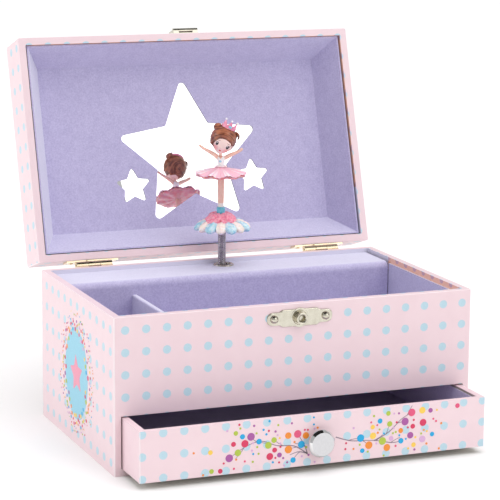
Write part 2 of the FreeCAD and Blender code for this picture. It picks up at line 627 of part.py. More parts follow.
COMB_X = (-20.0, -6.0)
COMB_THICK = 0.8
COMB_LOW = 31.8
COMB_ROOT = 36.6
COMB_TEETH = 18
COMB_SLOT = 0.2
COMB_SEAT_Z = (31.6, 36.0)
COMB_SCREW_X = (-17.0, -9.0)
COMB_SCREW_Z = 33.8
COMB_SCREW_SHANK = 0.78

CYL_RADIUS = 5.2
PIN_REACH = 0.4
PIN_RADIUS = 0.16
PINS_PER_TRACK = 5
GEAR_X = (-23.6, -22.4)     # wheel on the cylinder and the transfer pinion it drives
WHEEL_TIP = 5.0
TRANSFER_TIP = 2.2
TRANSFER_Z = CYL_Z + WHEEL_TIP + 0.15 + TRANSFER_TIP
WORM_WHEEL_TIP = 4.2
WORM_THREAD = 1.2
WORM_X = -21.3
WORM_Y = CYL_Y - WORM_WHEEL_TIP - 0.2 - WORM_THREAD
WORM_SHAFT = 0.5
WORM_Z = (43.6, 64.0)
FAN_HALF = 4.6
FAN_Z = (60.0, 63.6)
BRACKET_X = (-24.6, -20.4)
BRACKET_Z = (36.0, 59.4)
BRACKET_FRONT = WORM_Y - 2.6

KEY_START = HALF_D + 1.6
KEY_HALF = 9.5
KEY_WING = (3.2, 13.5)      # wing's reach from the start of the boss
KEY_THICK = 0.9

SPINDLE_RADIUS = 1.4
SPINDLE_FOOT = 35.4
SPINDLE_SHOULDER = 60.0


def bearing_block(x_span, z0, z1):
    """Block that stands off the front of the plate to carry an arbor."""
    return box(x_span[0], x_span[1], BEARING_FRONT, PLATE_FRONT + 0.5, z0, z1)


def bedplate():
    """Cast plate with cylinder and spindle bearings, the comb's seat and a window for the wheels."""
    plate = box(PLATE_X[0], PLATE_X[1], PLATE_FRONT, PLATE_BACK, PLATE_Z[0], PLATE_Z[1])
    plate = plate.makeFillet(PLATE_ROUND, edges_along(plate, Y_AXIS))
    window = box(WINDOW_X[0], WINDOW_X[1], PLATE_FRONT - 1, PLATE_BACK + 1, WINDOW_Z[0], WINDOW_Z[1])
    pieces = [plate.cut(window)]
    pieces.append(bearing_block(LEFT_BEARING, 42.5, TRANSFER_Z + 2.4))
    pieces.append(bearing_block(RIGHT_BEARING, 37.0, 49.0))
    pieces.append(box(COMB_X[0], COMB_X[1], CYL_Y + COMB_THICK / 2, PLATE_FRONT + 0.5, *COMB_SEAT_Z))
    arm_top = SPINDLE_ARM_Z[1] + SPINDLE_ARM_THICK
    pieces.append(box(*SPINDLE_ARM_X, SPINDLE_Y + 3.2, PLATE_FRONT + 0.5, SPINDLE_ARM_Z[0], arm_top))
    for z in SPINDLE_ARM_Z:
        pieces.append(box(*SPINDLE_ARM_X, SPINDLE_ARM_FRONT, SPINDLE_Y + 3.5, z, z + SPINDLE_ARM_THICK))
    cutters = [rod(ARBOR + RUN, V(-30, CYL_Y, CYL_Z), X_AXIS, 30)]
    cutters.append(rod(ARBOR + RUN, V(-30, CYL_Y, TRANSFER_Z), X_AXIS, 12))
    cutters.append(rod(WIND_RADIUS + RUN, V(BARREL_X, 40, CYL_Z), Y_AXIS, 15))
    cutters += [rod(SCREW_SHANK, point - Y_AXIS * 6, Y_AXIS, 9) for point in MOUNT_SCREWS]
    cutters += [rod(COMB_SCREW_SHANK + 0.02, V(x, 42, COMB_SCREW_Z), Y_AXIS, 5.6) for x in COMB_SCREW_X]
    cutters.append(rod(SPINDLE_RADIUS + RUN, V(SPINDLE_X, SPINDLE_Y, 35), Z_AXIS, 26))
    keep("movement_bedplate", fuse(pieces).cut(Part.makeCompound(cutters)))


def movement_screws():
    """Three screws through the back wall into the plate, and two that hold the comb."""
    shank = SCREW_SHANK - 0.02
    long_screw = [(0, -4.6), (shank, -4.6), (shank, 0), (SCREW_HEAD, 0)]
    long_screw += [(SCREW_HEAD * 0.9, SCREW_DOME * 0.6), (SCREW_HEAD * 0.5, SCREW_DOME), (0, SCREW_DOME)]
    screws = [lathe(long_screw, point, Y_AXIS) for point in MOUNT_SCREWS]
    shank = COMB_SCREW_SHANK
    short_screw = [(0, -3.0), (shank, -3.0), (shank, 0), (1.7, 0), (1.7, 0.7), (1.3, 0.9), (0, 0.9)]
    comb_face = CYL_Y - COMB_THICK / 2
    screws += [lathe(short_screw, V(x, comb_face, COMB_SCREW_Z), FRONT) for x in COMB_SCREW_X]
    keep("movement_screws", group(screws))


def comb():
    """Steel comb whose teeth end just under the cylinder's pins."""
    half = COMB_THICK / 2
    tip = CYL_Z - CYL_RADIUS - PIN_REACH - 0.25
    plate = box(COMB_X[0], COMB_X[1], CYL_Y - half, CYL_Y + half, COMB_LOW, tip)
    pitch = (COMB_X[1] - COMB_X[0]) / COMB_TEETH
    cutters = [rod(COMB_SCREW_SHANK + 0.07, V(x, CYL_Y - 1, COMB_SCREW_Z), Y_AXIS, 2) for x in COMB_SCREW_X]
    for index in range(1, COMB_TEETH):
        x0 = COMB_X[0] + index * pitch - COMB_SLOT / 2
        cutters.append(box(x0, x0 + COMB_SLOT, CYL_Y - 1, CYL_Y + 1, COMB_ROOT, tip + 1))
    keep("comb", plate.cut(Part.makeCompound(cutters)))


def cylinder():
    """Pinned cylinder on its arbor with the winding pinion, the transfer wheel and the crown wheel."""
    keep("cylinder_arbor", rod(ARBOR, V(-32.2, CYL_Y, CYL_Z), X_AXIS, 31.4))
    drum = tube(CYL_RADIUS, ARBOR, V(COMB_X[0], CYL_Y, CYL_Z), X_AXIS, COMB_X[1] - COMB_X[0])
    pitch = (COMB_X[1] - COMB_X[0]) / COMB_TEETH
    pins = []
    for track in range(COMB_TEETH):
        x = COMB_X[0] + (track + 0.5) * pitch
        for step in range(PINS_PER_TRACK):
            turn = math.radians(360 / PINS_PER_TRACK * step + 47 * track + 9 * ((track * step) % 5))
            outward = V(0, math.cos(turn), math.sin(turn))
            start = V(x, CYL_Y, CYL_Z) + outward * (CYL_RADIUS - 0.3)
            pins.append(rod(PIN_RADIUS, start, outward, PIN_REACH + 0.3))
    keep("music_cylinder", drum.multiFuse(pins))
    wheels = [gear(30, WHEEL_TIP, 4.5, V(GEAR_X[0], CYL_Y, CYL_Z), X_AXIS, GEAR_X[1] - GEAR_X[0], ARBOR)]
    wheels.append(gear(10, 2.5, 1.8, V(-31.2, CYL_Y, CYL_Z), X_AXIS, 2.6, ARBOR))
    wheels.append(gear(26, 4.9, 4.3, V(-2.4, CYL_Y, CYL_Z), X_AXIS, 1.7, ARBOR))
    keep("cylinder_wheels", group(wheels))


def mainspring():
    """Flat spiral of half turns, each a little wider than the last, on alternate centres."""
    turns = []
    radius = COIL_START
    side = 1
    while radius < BARREL_RADIUS - 2 * BARREL_WALL:
        middle = V(BARREL_X + side * COIL_STEP / 4, BARREL_FRONT + 1.3, CYL_Z)
        ring = Part.makeCylinder(radius + COIL_STRIP, COIL_WIDTH, middle, Y_AXIS, 180)
        ring = ring.cut(Part.makeCylinder(radius - COIL_STRIP, COIL_WIDTH, middle, Y_AXIS, 180))
        if side < 0:
            ring.rotate(middle, Y_AXIS, 180)
        turns.append(ring)
        radius += COIL_STEP / 2
        side = -side
    keep("mainspring", turns[0].multiFuse(turns[1:]))


def barrel():
    """Spring barrel with a toothed rim, its bridge and the winding arbor."""
    centre = V(BARREL_X, BARREL_FRONT, CYL_Z)
    depth = BARREL_BACK - BARREL_FRONT
    shell = rod(BARREL_RADIUS, centre, Y_AXIS, depth)
    shell = shell.cut(rod(BARREL_RADIUS - BARREL_WALL, centre + Y_AXIS * BARREL_WALL, Y_AXIS, depth - 2.0))
    shell = shell.cut(rod(WIND_RADIUS + RUN, centre - Y_AXIS, Y_AXIS, depth + 2))
    rim_width = 1.4
    rim_start = centre + Y_AXIS * (depth - rim_width)
    teeth = gear(44, BARREL_RADIUS + 0.9, BARREL_RADIUS + 0.1, rim_start, Y_AXIS, rim_width,
                 BARREL_RADIUS - 0.4)
    keep("spring_barrel", fuse([shell, teeth]))
    bridge = box(BARREL_X - BRIDGE_HALF, BARREL_X + BRIDGE_HALF, BRIDGE_Y[0], BRIDGE_Y[1],
                 CYL_Z - BRIDGE_RISE, CYL_Z + BRIDGE_RISE)
    bridge = bridge.makeFillet(2.0, edges_along(bridge, Y_AXIS))
    bridge = bridge.cut(rod(WIND_RADIUS + RUN, V(BARREL_X, 30, CYL_Z), Y_AXIS, 5))
    pillar_foot = V(BARREL_X - BRIDGE_HALF + 1.2, BRIDGE_Y[1] - 0.5, CYL_Z)
    pillar = rod(0.75, pillar_foot, Y_AXIS, PLATE_FRONT - pillar_foot.y)
    keep("barrel_bridge", fuse([bridge, pillar]))
    arbor_end = HALF_D + 3.4
    keep("winding_arbor", rod(WIND_RADIUS, V(BARREL_X, ARBOR_FRONT, CYL_Z), Y_AXIS, arbor_end - ARBOR_FRONT))


def winding_key():
    """Screwed-on key: round boss with two flat rounded wings."""
    bore = WIND_RADIUS + 0.02
    boss = [(bore, 0), (3.1, 0), (3.1, 4.4), (2.6, 5.6), (0, 5.6), (0, 1.85), (bore, 1.85)]
    hub = lathe(boss, V(BARREL_X, KEY_START, CYL_Z), Y_AXIS)
    wing = box(BARREL_X - KEY_HALF, BARREL_X + KEY_HALF, KEY_START + KEY_WING[0], KEY_START + KEY_WING[1],
               CYL_Z - KEY_THICK, CYL_Z + KEY_THICK)
    wing = wing.makeFillet(4.4, edges_along(wing, Z_AXIS))
    eyes = [rod(1.9, V(BARREL_X + side * 5.2, KEY_START + 8.4, CYL_Z - 2), Z_AXIS, 4) for side in (-1, 1)]
    keep("winding_key", fuse([hub, wing]).cut(Part.makeCompound(eyes)))


def governor():
    """Transfer wheel, worm with its fan, and the bracket that carries the worm."""
    arbor = rod(ARBOR, V(LEFT_BEARING[0], CYL_Y, TRANSFER_Z), X_AXIS, 6.4)
    pinion = gear(12, TRANSFER_TIP, 1.6, V(GEAR_X[0], CYL_Y, TRANSFER_Z), X_AXIS, GEAR_X[1] - GEAR_X[0], 0.5)
    wheel = gear(28, WORM_WHEEL_TIP, 3.7, V(-21.8, CYL_Y, TRANSFER_Z), X_AXIS, 1.0, 0.5)
    keep("transfer_gear", fuse([arbor, pinion, wheel]))
    shaft = rod(WORM_SHAFT, V(WORM_X, WORM_Y, WORM_Z[0]), Z_AXIS, WORM_Z[1] - WORM_Z[0])
    worm = rod(0.95, V(WORM_X, WORM_Y, 49.0), Z_AXIS, 8.0)
    ridge = [(0.8, -0.3), (WORM_THREAD, -0.1), (WORM_THREAD, 0.1), (0.8, 0.3)]
    threads = [lathe(ridge, V(WORM_X, WORM_Y, 49.6 + index), Z_AXIS) for index in range(8)]
    fan = box(WORM_X - FAN_HALF, WORM_X + FAN_HALF, WORM_Y - 0.2, WORM_Y + 0.2, *FAN_Z)
    keep("governor_fan", fuse([shaft, worm, fan] + threads))
    left, right = BRACKET_X
    low, high = BRACKET_Z
    back = BRACKET_FRONT - 0.5
    pieces = [box(left, right, BRACKET_FRONT - 1.0, BRACKET_FRONT, low, high)]
    pieces.append(box(left + 2.6, right, back, WORM_Y + 0.9, 43.0, 44.2))
    pieces.append(box(left + 2.2, right, back, WORM_Y + 1.2, high - 1.2, high))
    pieces.append(box(left, right, back, PLATE_FRONT, low, low + 2.6))
    bracket = fuse(pieces).cut(rod(WORM_SHAFT + RUN, V(WORM_X, WORM_Y, 43.4), Z_AXIS, 20))
    keep("governor_bracket", bracket)


def spindle():
    """Upright spindle under the dancer with its pinion and the nose inside the stem spring."""
    foot = V(SPINDLE_X, SPINDLE_Y, SPINDLE_FOOT)
    shaft = rod(SPINDLE_RADIUS, foot, Z_AXIS, SPINDLE_SHOULDER - SPINDLE_FOOT)
    nose = rod(SPRING_BORE - 0.08, V(SPINDLE_X, SPINDLE_Y, SPINDLE_SHOULDER), Z_AXIS, 5.2)
    pinion = gear(14, 2.5, 1.95, V(SPINDLE_X, SPINDLE_Y, 49.2), Z_AXIS, 2.6, 1.0)
    keep("drive_spindle", fuse([shaft, nose, pinion]))


# ---------------------------------------------------------------- dancer
STAND_HEIGHT = 8.2
ANKLE_Z = STAND_BOTTOM + STAND_HEIGHT + 0.1
ANKLE_HEIGHT = 3.0
TUTU_Z = 112.2              # height of the skirt's rim
SKIRT_LOW = 2.6             # underside of the skirt at the legs, below its rim
SKIRT_TOP = 3.4             # waist above the skirt's rim
NECK_Z = 121.0
HEAD_Z = 129.0
HEAD_SHIFT = 0.6            # the head leans a little to her left
HEAD_RADIUS = 5.6
HAIR_RADIUS = 6.2
HAIRLINE_Z = HEAD_Z + 1.6
ARM_RADIUS = 0.85
DANCER_TURN = -21.9         # degrees she is turned about her axis at rest
ARMS = (
    # (across, height) of the shoulder, the elbow and the raised hand
    ((-1.6, 119.6), (-5.1, 122.7), (-10.7, 126.4)),
    ((1.6, 119.6), (4.7, 121.8), (10.0, 124.2)),
)


def limb(points, radius):
    """Chain of straight rounded segments."""
    pieces = []
    for start, end in zip(points, points[1:]):
        span = end - start
        pieces.append(Part.makeCylinder(radius, span.Length, start, span))
        pieces.append(Part.makeSphere(radius, end))
    return pieces


def at(x, y, z):
    """Point on the dancer, measured from her axis."""
    return V(SPINDLE_X + x, SPINDLE_Y + y, z)


def keep_turned(name, shape):
    """Record a piece of the figure, turned about her axis to her rest direction."""
    turned = shape.copy()
    turned.rotate(at(0, 0, 0), Z_AXIS, DANCER_TURN)
    keep(name, turned)


def stem():
    """Spring stem between the movement and the stand, and the plug that holds its top end."""
    length = STAND_BOTTOM + 1.0 - SPRING_FOOT
    keep("stem_spring", tube(SPRING_RADIUS, SPRING_BORE, at(0, 0, SPRING_FOOT), Z_AXIS, length))
    keep("stand_plug", rod(SPRING_BORE - 0.02, at(0, 0, STAND_BOTTOM - 4), Z_AXIS, 7.6))


def lower_figure():
    """Ruffled stand, slippers, legs and skirt."""
    socket = SPRING_RADIUS + 0.05
    ruffle = [(socket, 0), (11.5, 0), (STAND_RADIUS, 1.6), (STAND_RADIUS - 0.6, 3.4), (10.5, 5.0)]
    ruffle += [(9.4, 6.4), (7.2, 7.8), (2.6, STAND_HEIGHT), (SPRING_BORE, STAND_HEIGHT)]
    ruffle += [(SPRING_BORE, 1.0), (socket, 1.0)]
    keep_turned("dancer_stand", lathe(ruffle, at(0, 0, STAND_BOTTOM), Z_AXIS))
    knee_z = ANKLE_Z + ANKLE_HEIGHT
    feet = box(SPINDLE_X - 2.2, SPINDLE_X + 2.2, SPINDLE_Y - 1.7, SPINDLE_Y + 1.7, ANKLE_Z, knee_z)
    keep_turned("dancer_slippers", feet.makeFillet(1.2, edges_along(feet, Z_AXIS)))
    keep_turned("dancer_legs", Part.makeCone(1.5, 2.6, TUTU_Z - SKIRT_LOW - knee_z, at(0, 0, knee_z), Z_AXIS))
    skirt = [(0, -SKIRT_LOW), (3.0, -SKIRT_LOW), (12.0, -1.6), (12.9, -0.4), (12.4, 0.4), (3.4, 2.8)]
    skirt += [(2.6, SKIRT_TOP), (0, SKIRT_TOP)]
    keep_turned("dancer_tutu", lathe(skirt, at(0, 0, TUTU_Z), Z_AXIS))


def upper_figure():
    """Bodice with both arms raised, head, hair and crown."""
    bodice = [(0, 0), (2.5, 0), (3.3, 2.6), (2.4, 4.4), (1.4, 4.9), (0, 4.9)]
    pieces = [lathe(bodice, at(0, 0, TUTU_Z + SKIRT_TOP), Z_AXIS)]
    for arm in ARMS:
        pieces += limb([at(across, 0, height) for across, height in arm], ARM_RADIUS)
    keep_turned("dancer_torso", fuse(pieces))
    below = box(-50, 50, 0, 100, NECK_Z, HAIRLINE_Z)
    head = Part.makeSphere(HEAD_RADIUS, at(HEAD_SHIFT, 0, HEAD_Z - 1.2)).common(below)
    neck = rod(1.2, at(0, 0, TUTU_Z + SKIRT_TOP + 4.9), Z_AXIS, 4.0)
    keep_turned("dancer_head", fuse([head, neck]))
    above = box(-50, 50, 0, 100, HAIRLINE_Z, HEAD_Z + 10)
    keep_turned("dancer_hair", Part.makeSphere(HAIR_RADIUS, at(HEAD_SHIFT, 0, HEAD_Z)).common(above))
    crown = [(0, 0), (3.6, 0), (4.4, 3.0), (0, 3.0)]
    keep_turned("dancer_crown", lathe(crown, at(HEAD_SHIFT, 0, HEAD_Z + HAIR_RADIUS + 0.05), Z_AXIS))


def write_all():
    """One STEP per node."""
    for name, shape in NODES.items():
        if not shape.isValid():
            raise ValueError("invalid shape: " + name)
        shape.exportStep("parts/" + name + ".step")
    print(len(NODES), "nodes written")


box_boards()
keep("box_paper", box_paper())
tray_linings()
housing()
latch()
hinges()
lid_boards()
keep("lid_paper", lid_paper())
lid_lining()
hasp()
drawer()
bedplate()
movement_screws()
comb()
cylinder()
mainspring()
barrel()
winding_key()
governor()
spindle()
stem()
lower_figure()
upper_figure()
write_all()
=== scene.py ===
import json
import random
from math import acos, atan2, copysign, cos, exp, pi, radians, remainder, sin, tau

import bmesh
import bpy
from mathutils import Matrix, Vector


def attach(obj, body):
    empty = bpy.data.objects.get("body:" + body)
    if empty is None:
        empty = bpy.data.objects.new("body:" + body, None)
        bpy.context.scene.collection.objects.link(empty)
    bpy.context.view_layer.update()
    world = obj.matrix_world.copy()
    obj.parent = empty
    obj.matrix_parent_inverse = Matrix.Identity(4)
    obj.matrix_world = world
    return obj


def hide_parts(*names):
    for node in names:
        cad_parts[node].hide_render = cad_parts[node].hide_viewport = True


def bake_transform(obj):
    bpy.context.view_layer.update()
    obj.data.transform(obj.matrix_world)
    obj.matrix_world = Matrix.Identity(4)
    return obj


# Looks for the musical jewellery box. Shapes are written in millimetres and scaled when a mesh is made.
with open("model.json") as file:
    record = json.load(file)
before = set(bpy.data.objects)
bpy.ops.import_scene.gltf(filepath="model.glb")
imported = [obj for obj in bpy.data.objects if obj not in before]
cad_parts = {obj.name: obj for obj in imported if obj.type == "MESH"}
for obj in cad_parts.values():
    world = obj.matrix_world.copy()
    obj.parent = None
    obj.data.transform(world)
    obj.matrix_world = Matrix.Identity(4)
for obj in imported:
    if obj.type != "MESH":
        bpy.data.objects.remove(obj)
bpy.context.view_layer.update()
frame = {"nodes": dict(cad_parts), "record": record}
MM = 0.001

LID_OPEN = radians(107.3)
HINGE = (0.0, 56.2, 70.25)
AXIS_X = 2.0                # the dancer's axis
AXIS_Y = 44.5
DANCER_TURN = radians(-21.9)
DOT_PITCH_X = 9.42          # polka dot grid
DOT_PITCH_Z = 9.8
DOT_RADIUS = 1.85
DOT_START_Y = 49.3          # how far in front of the middle the dots start on the sides, lid and rims
TURN_IN_ROW = 70.1          # height of the dots on the turned-in paper
INSIDE_X = 81.85            # half the room inside the walls
INSIDE_Y = 50.55
FLOCKED_FROM = 26.5         # the turned-in paper is pale lilac behind this
LINING_TOP = 87.0           # height of the lid's mirror panel, shut
DRAWER_FACE = -76.5
KNOB = (0.3, 13.6)
LATCH = (0.6, -53.7, 63.7)
NAIL_X = 12.2               # latch nails either side of the stud
INK = 0.05                  # how far printed shapes stand proud of the paper
MIRROR_LEAN = 0.077         # slope of the mirror's shading against the card


# ---- shader building
def rgb(*display):
    """Linear colour from red, green and blue display values of 0-255."""
    shares = [value / 255 for value in display]
    return (*(share / 12.92 if share <= 0.04045 else ((share + 0.055) / 1.055) ** 2.4 for share in shares), 1)


class Paint:
    """One procedural material on a Principled shader."""

    def __init__(self, name, **values):
        self.material = bpy.data.materials.new(name)
        self.material.use_nodes = True
        self.tree = self.material.node_tree
        self.shader = self.tree.nodes["Principled BSDF"]
        coords = self.tree.nodes.new("ShaderNodeTexCoord")
        self.place = coords.outputs["Object"]
        self.normal = coords.outputs["Normal"]
        for name, value in values.items():
            self.shader.inputs[name.replace("_", " ")].default_value = value

    def feed(self, socket, value):
        if isinstance(value, bpy.types.NodeSocket):
            self.tree.links.new(value, socket)
        else:
            socket.default_value = value

    def node(self, kind, inputs, output=0, **settings):
        """One output of a new node, with its inputs fed and its settings made."""
        node = self.tree.nodes.new(kind)
        for name, value in settings.items():
            setattr(node, name, value)
        for name, value in inputs.items():
            self.feed(node.inputs[name], value)
        return node.outputs[output]

    def math(self, operation, *values):
        return self.node("ShaderNodeMath", dict(enumerate(values)), operation=operation)

    def add(self, first, second):
        return self.math("ADD", first, second)

    def minus(self, first, second):
        return self.math("SUBTRACT", first, second)

    def times(self, first, second):
        return self.math("MULTIPLY", first, second)

    def length(self, first, second):
        """Length of a flat vector."""
        return self.math("SQRT", self.add(self.times(first, first), self.times(second, second)))

    def mix(self, share, first, second):
        return self.node("ShaderNodeMix", {0: share, 6: first, 7: second}, 2, data_type="RGBA")

    def split(self, vector):
        return self.node("ShaderNodeSeparateXYZ", {0: vector}).node.outputs

    def join(self, x, y, z):
        return self.node("ShaderNodeCombineXYZ", {0: x, 1: y, 2: z})

    def lid_shut(self):
        """Place and normal as they are with the lid shut."""
        shut = []
        for vector, centre in ((self.place, HINGE), (self.normal, (0, 0, 0))):
            inputs = {"Vector": vector, "Center": [value * MM for value in centre], "Angle": LID_OPEN}
            shut.append(self.node("ShaderNodeVectorRotate", inputs, rotation_type="X_AXIS"))
        return shut

    def noise(self, size, detail=2.0, vector=None, roughness=0.5):
        """Noise from 0 to 1 whose blotches are about size millimetres across."""
        inputs = {"Vector": vector or self.place, "Scale": 1.0 / (size * MM), "Detail": detail,
                  "Roughness": roughness}
        return self.node("ShaderNodeTexNoise", inputs)

    def ramp(self, value, low, high, start=0.0, end=1.0):
        """Smooth step of value from low to high."""
        inputs = dict(enumerate((value, low, high, start, end)))
        return self.node("ShaderNodeMapRange", inputs, interpolation_type="SMOOTHSTEP")

    def bump(self, height, depth, strength=1.0):
        """Bump of depth millimetres from a height between 0 and 1."""
        inputs = {"Height": height, "Distance": depth * MM, "Strength": strength}
        self.feed(self.shader.inputs["Normal"], self.node("ShaderNodeBump", inputs))

    def colour(self, value):
        self.feed(self.shader.inputs["Base Color"], value)

    def roughness(self, value):
        self.feed(self.shader.inputs["Roughness"], value)


# ---- materials
def cell_offset(paint, value, pitch):
    """Distance from the nearest line of a grid, from half a pitch below to half above."""
    part = paint.math("FRACT", paint.add(paint.math("DIVIDE", value, pitch), 0.5))
    return paint.times(paint.minus(part, 0.5), pitch)


def choose(paint, test, other, value):
    """value where test is 1, other where it is 0."""
    return paint.math("MULTIPLY_ADD", test, paint.minus(value, other), other)


def dotted_paper(name, closed_lid=False, first=(79.8, 64.15)):
    """Pink printed paper with light blue dots on every face; where it turns in, a painted salmon tint with
    greyed dots stands in for shade and light bounced between the walls, and a painted highlight lightens the
    folds.
    """
    paint = Paint(name, Roughness=0.42, Coat_Weight=0.12, Coat_Roughness=0.3)
    place, normal = paint.lid_shut() if closed_lid else (paint.place, paint.normal)
    x, y, z = paint.split(place)
    facing = [paint.math("ABSOLUTE", part) for part in paint.split(normal)]
    side = paint.math("GREATER_THAN", facing[0], 0.7)
    level = paint.math("GREATER_THAN", facing[2], 0.7)
    inside_x = paint.math("LESS_THAN", paint.math("ABSOLUTE", x), INSIDE_X * MM)
    inside_y = paint.math("LESS_THAN", paint.math("ABSOLUTE", y), INSIDE_Y * MM)
    turned_in = paint.times(paint.times(inside_x, inside_y), paint.minus(1.0, level))
    back = paint.add(y, DOT_START_Y * MM)
    across = choose(paint, side, paint.add(x, first[0] * MM), back)
    row = choose(paint, turned_in, first[1] * MM, TURN_IN_ROW * MM)
    up = choose(paint, level, paint.minus(z, row), back)
    from_column = cell_offset(paint, across, DOT_PITCH_X * MM)
    reach = paint.length(from_column, cell_offset(paint, up, DOT_PITCH_Z * MM))
    wobble = paint.times(paint.noise(0.7), 0.18 * MM)
    dot = paint.ramp(paint.add(reach, wobble), (DOT_RADIUS - 0.02) * MM, (DOT_RADIUS + 0.2) * MM, 1.0, 0.0)
    pink = paint.mix(paint.noise(9.0, 3.0), rgb(231, 205, 211), rgb(238, 214, 219))
    blue = paint.mix(paint.noise(0.45, 3.0), rgb(174, 205, 219), rgb(190, 216, 227))
    flattest = paint.math("MAXIMUM", paint.math("MAXIMUM", *facing[:2]), facing[2])
    # painted highlight: the colour turns near-white along the rounded folds where the surface bends
    fold_highlight = paint.ramp(flattest, 0.84, 0.995, 0.75, 0.0)
    print_colour = paint.mix(fold_highlight, paint.mix(dot, pink, blue), rgb(252, 240, 243))
    # painted shade and bounced light: salmon tint with greyish dots on the turned-in strip
    salmon = paint.mix(dot, rgb(255, 200, 172), rgb(214, 172, 182))
    backed = paint.math("GREATER_THAN", y, FLOCKED_FROM * MM)
    paint.colour(paint.mix(turned_in, print_colour, paint.mix(backed, salmon, rgb(222, 220, 235))))
    paint.roughness(paint.ramp(paint.noise(2.5, 3.0), 0.2, 0.8, 0.36, 0.5))
    paint.bump(paint.noise(0.35, 4.0), 0.02, 0.35)
    return paint.material


def plain_paper():
    """Pink paper without dots, for the drawer's sides."""
    paint = Paint("plain_paper", Roughness=0.45, Coat_Weight=0.1, Coat_Roughness=0.3)
    paint.colour(paint.mix(paint.noise(7.0, 3.0), rgb(232, 204, 211), rgb(239, 214, 220)))
    paint.bump(paint.noise(0.35, 4.0), 0.02, 0.35)
    return paint.material


def flock(name, deep, light, pale, sheen, card_edge=False):
    """Short flock: speckled pile with a pale sheen, partly painted into the colour by view angle, over grey
    card where the windows are cut.
    """
    paint = Paint(name, Roughness=1.0, Sheen_Weight=sheen, Sheen_Roughness=0.35, Sheen_Tint=pale,
                  Specular_IOR_Level=0.1)
    blotch = paint.ramp(paint.noise(4.0, 3.0), 0.3, 0.7)
    speck = paint.ramp(paint.noise(0.8, 4.0, roughness=0.75), 0.3, 0.7)
    share = paint.math("MULTIPLY_ADD", speck, 0.8, paint.times(blotch, 0.2))
    pile = paint.mix(share, deep, light)
    # painted sheen: the pile colour is mixed towards pale at grazing view angles, on top of the shader's own
    # sheen
    facing = paint.node("ShaderNodeLayerWeight", {"Blend": 0.5}, "Facing")
    pile = paint.mix(paint.math("POWER", facing, 3.0), pile, pale)
    if card_edge:
        height, slope = (paint.split(vector)[2] for vector in paint.lid_shut())
        upright = paint.math("LESS_THAN", paint.math("ABSOLUTE", slope), 0.3)
        deep_in = paint.math("GREATER_THAN", height, LINING_TOP * MM)
        pile = paint.mix(paint.times(upright, deep_in), pile, rgb(150, 148, 152))
    paint.colour(pile)
    paint.bump(paint.noise(0.3, 5.0, roughness=0.75), 0.12, 0.7)
    return paint.material


def greyboard():
    """Raw grey board with fibres."""
    paint = Paint("greyboard", Roughness=0.9)
    x, y, z = paint.split(paint.place)
    fibres = paint.noise(1.2, 5.0, paint.join(paint.times(x, 0.3), y, paint.times(z, 2.0)))
    paint.colour(paint.mix(fibres, rgb(168, 160, 150), rgb(206, 198, 186)))
    paint.bump(fibres, 0.05, 0.4)
    return paint.material


def metal(name, dark, light, rough=(0.2, 0.4), scratch=0.5):
    """Metal with uneven polish and fine scratches."""
    paint = Paint(name, Metallic=1.0)
    patches = paint.noise(2.4, 4.0)
    x, y, z = paint.split(paint.place)
    scratches = paint.noise(0.5, 4.0, paint.join(paint.times(x, 0.12), y, z))
    paint.colour(paint.mix(patches, dark, light))
    paint.roughness(paint.ramp(paint.add(patches, scratches), 0.6, 1.4, *rough))
    paint.bump(scratches, 0.02, scratch)
    return paint.material


def mirror_glass():
    """Silvered mirror with a faint cool tint, glued in a few degrees off the card."""
    paint = Paint("mirror_glass", Metallic=1.0, Roughness=0.0)
    paint.bump(paint.times(paint.split(paint.place)[0], MIRROR_LEAN), 1000.0)
    paint.colour(paint.mix(paint.noise(30.0), rgb(252, 253, 254), rgb(255, 255, 255)))
    return paint.material


def moulded(name, rough=0.32, coat=0.25, coat_rough=0.15, bleed=0.12, depth=0.6):
    """Paint for moulded plastic that lets a little light through."""
    return Paint(name, Roughness=rough, Coat_Weight=coat, Coat_Roughness=coat_rough, Subsurface_Weight=bleed,
                 Subsurface_Scale=depth * MM)


def plastic(name, first, second, size=1.6, **shading):
    """Painted moulded plastic with slightly uneven paint."""
    paint = moulded(name, **shading)
    paint.colour(paint.mix(paint.ramp(paint.noise(size, 3.0), 0.3, 0.7), first, second))
    paint.bump(paint.noise(0.5, 3.0), 0.02, 0.4)
    return paint.material


def ink(name, colour):
    """Flat printing ink with a little tooth."""
    paint = Paint("ink_" + name, Roughness=0.42, Coat_Weight=0.12, Coat_Roughness=0.3)
    darker = tuple(value * 0.9 for value in colour[:3]) + (1.0,)
    paint.colour(paint.mix(paint.ramp(paint.noise(0.4, 3.0), 0.35, 0.8), colour, darker))
    return paint.material


INKS = {
    "orange": rgb(240, 142, 45),
    "yellow": rgb(246, 204, 84),
    "green": rgb(176, 196, 66),
    "cyan": rgb(8, 166, 220),
    "pink": rgb(226, 82, 124),
    "purple": rgb(168, 84, 158),
    "lilac": rgb(216, 172, 212),
    "crimson": rgb(214, 50, 92),
    "sky": rgb(140, 204, 226),
    "rose": rgb(236, 146, 172),
    "twig": rgb(138, 122, 136),
}
DOT_INKS = tuple(INKS)[:8]

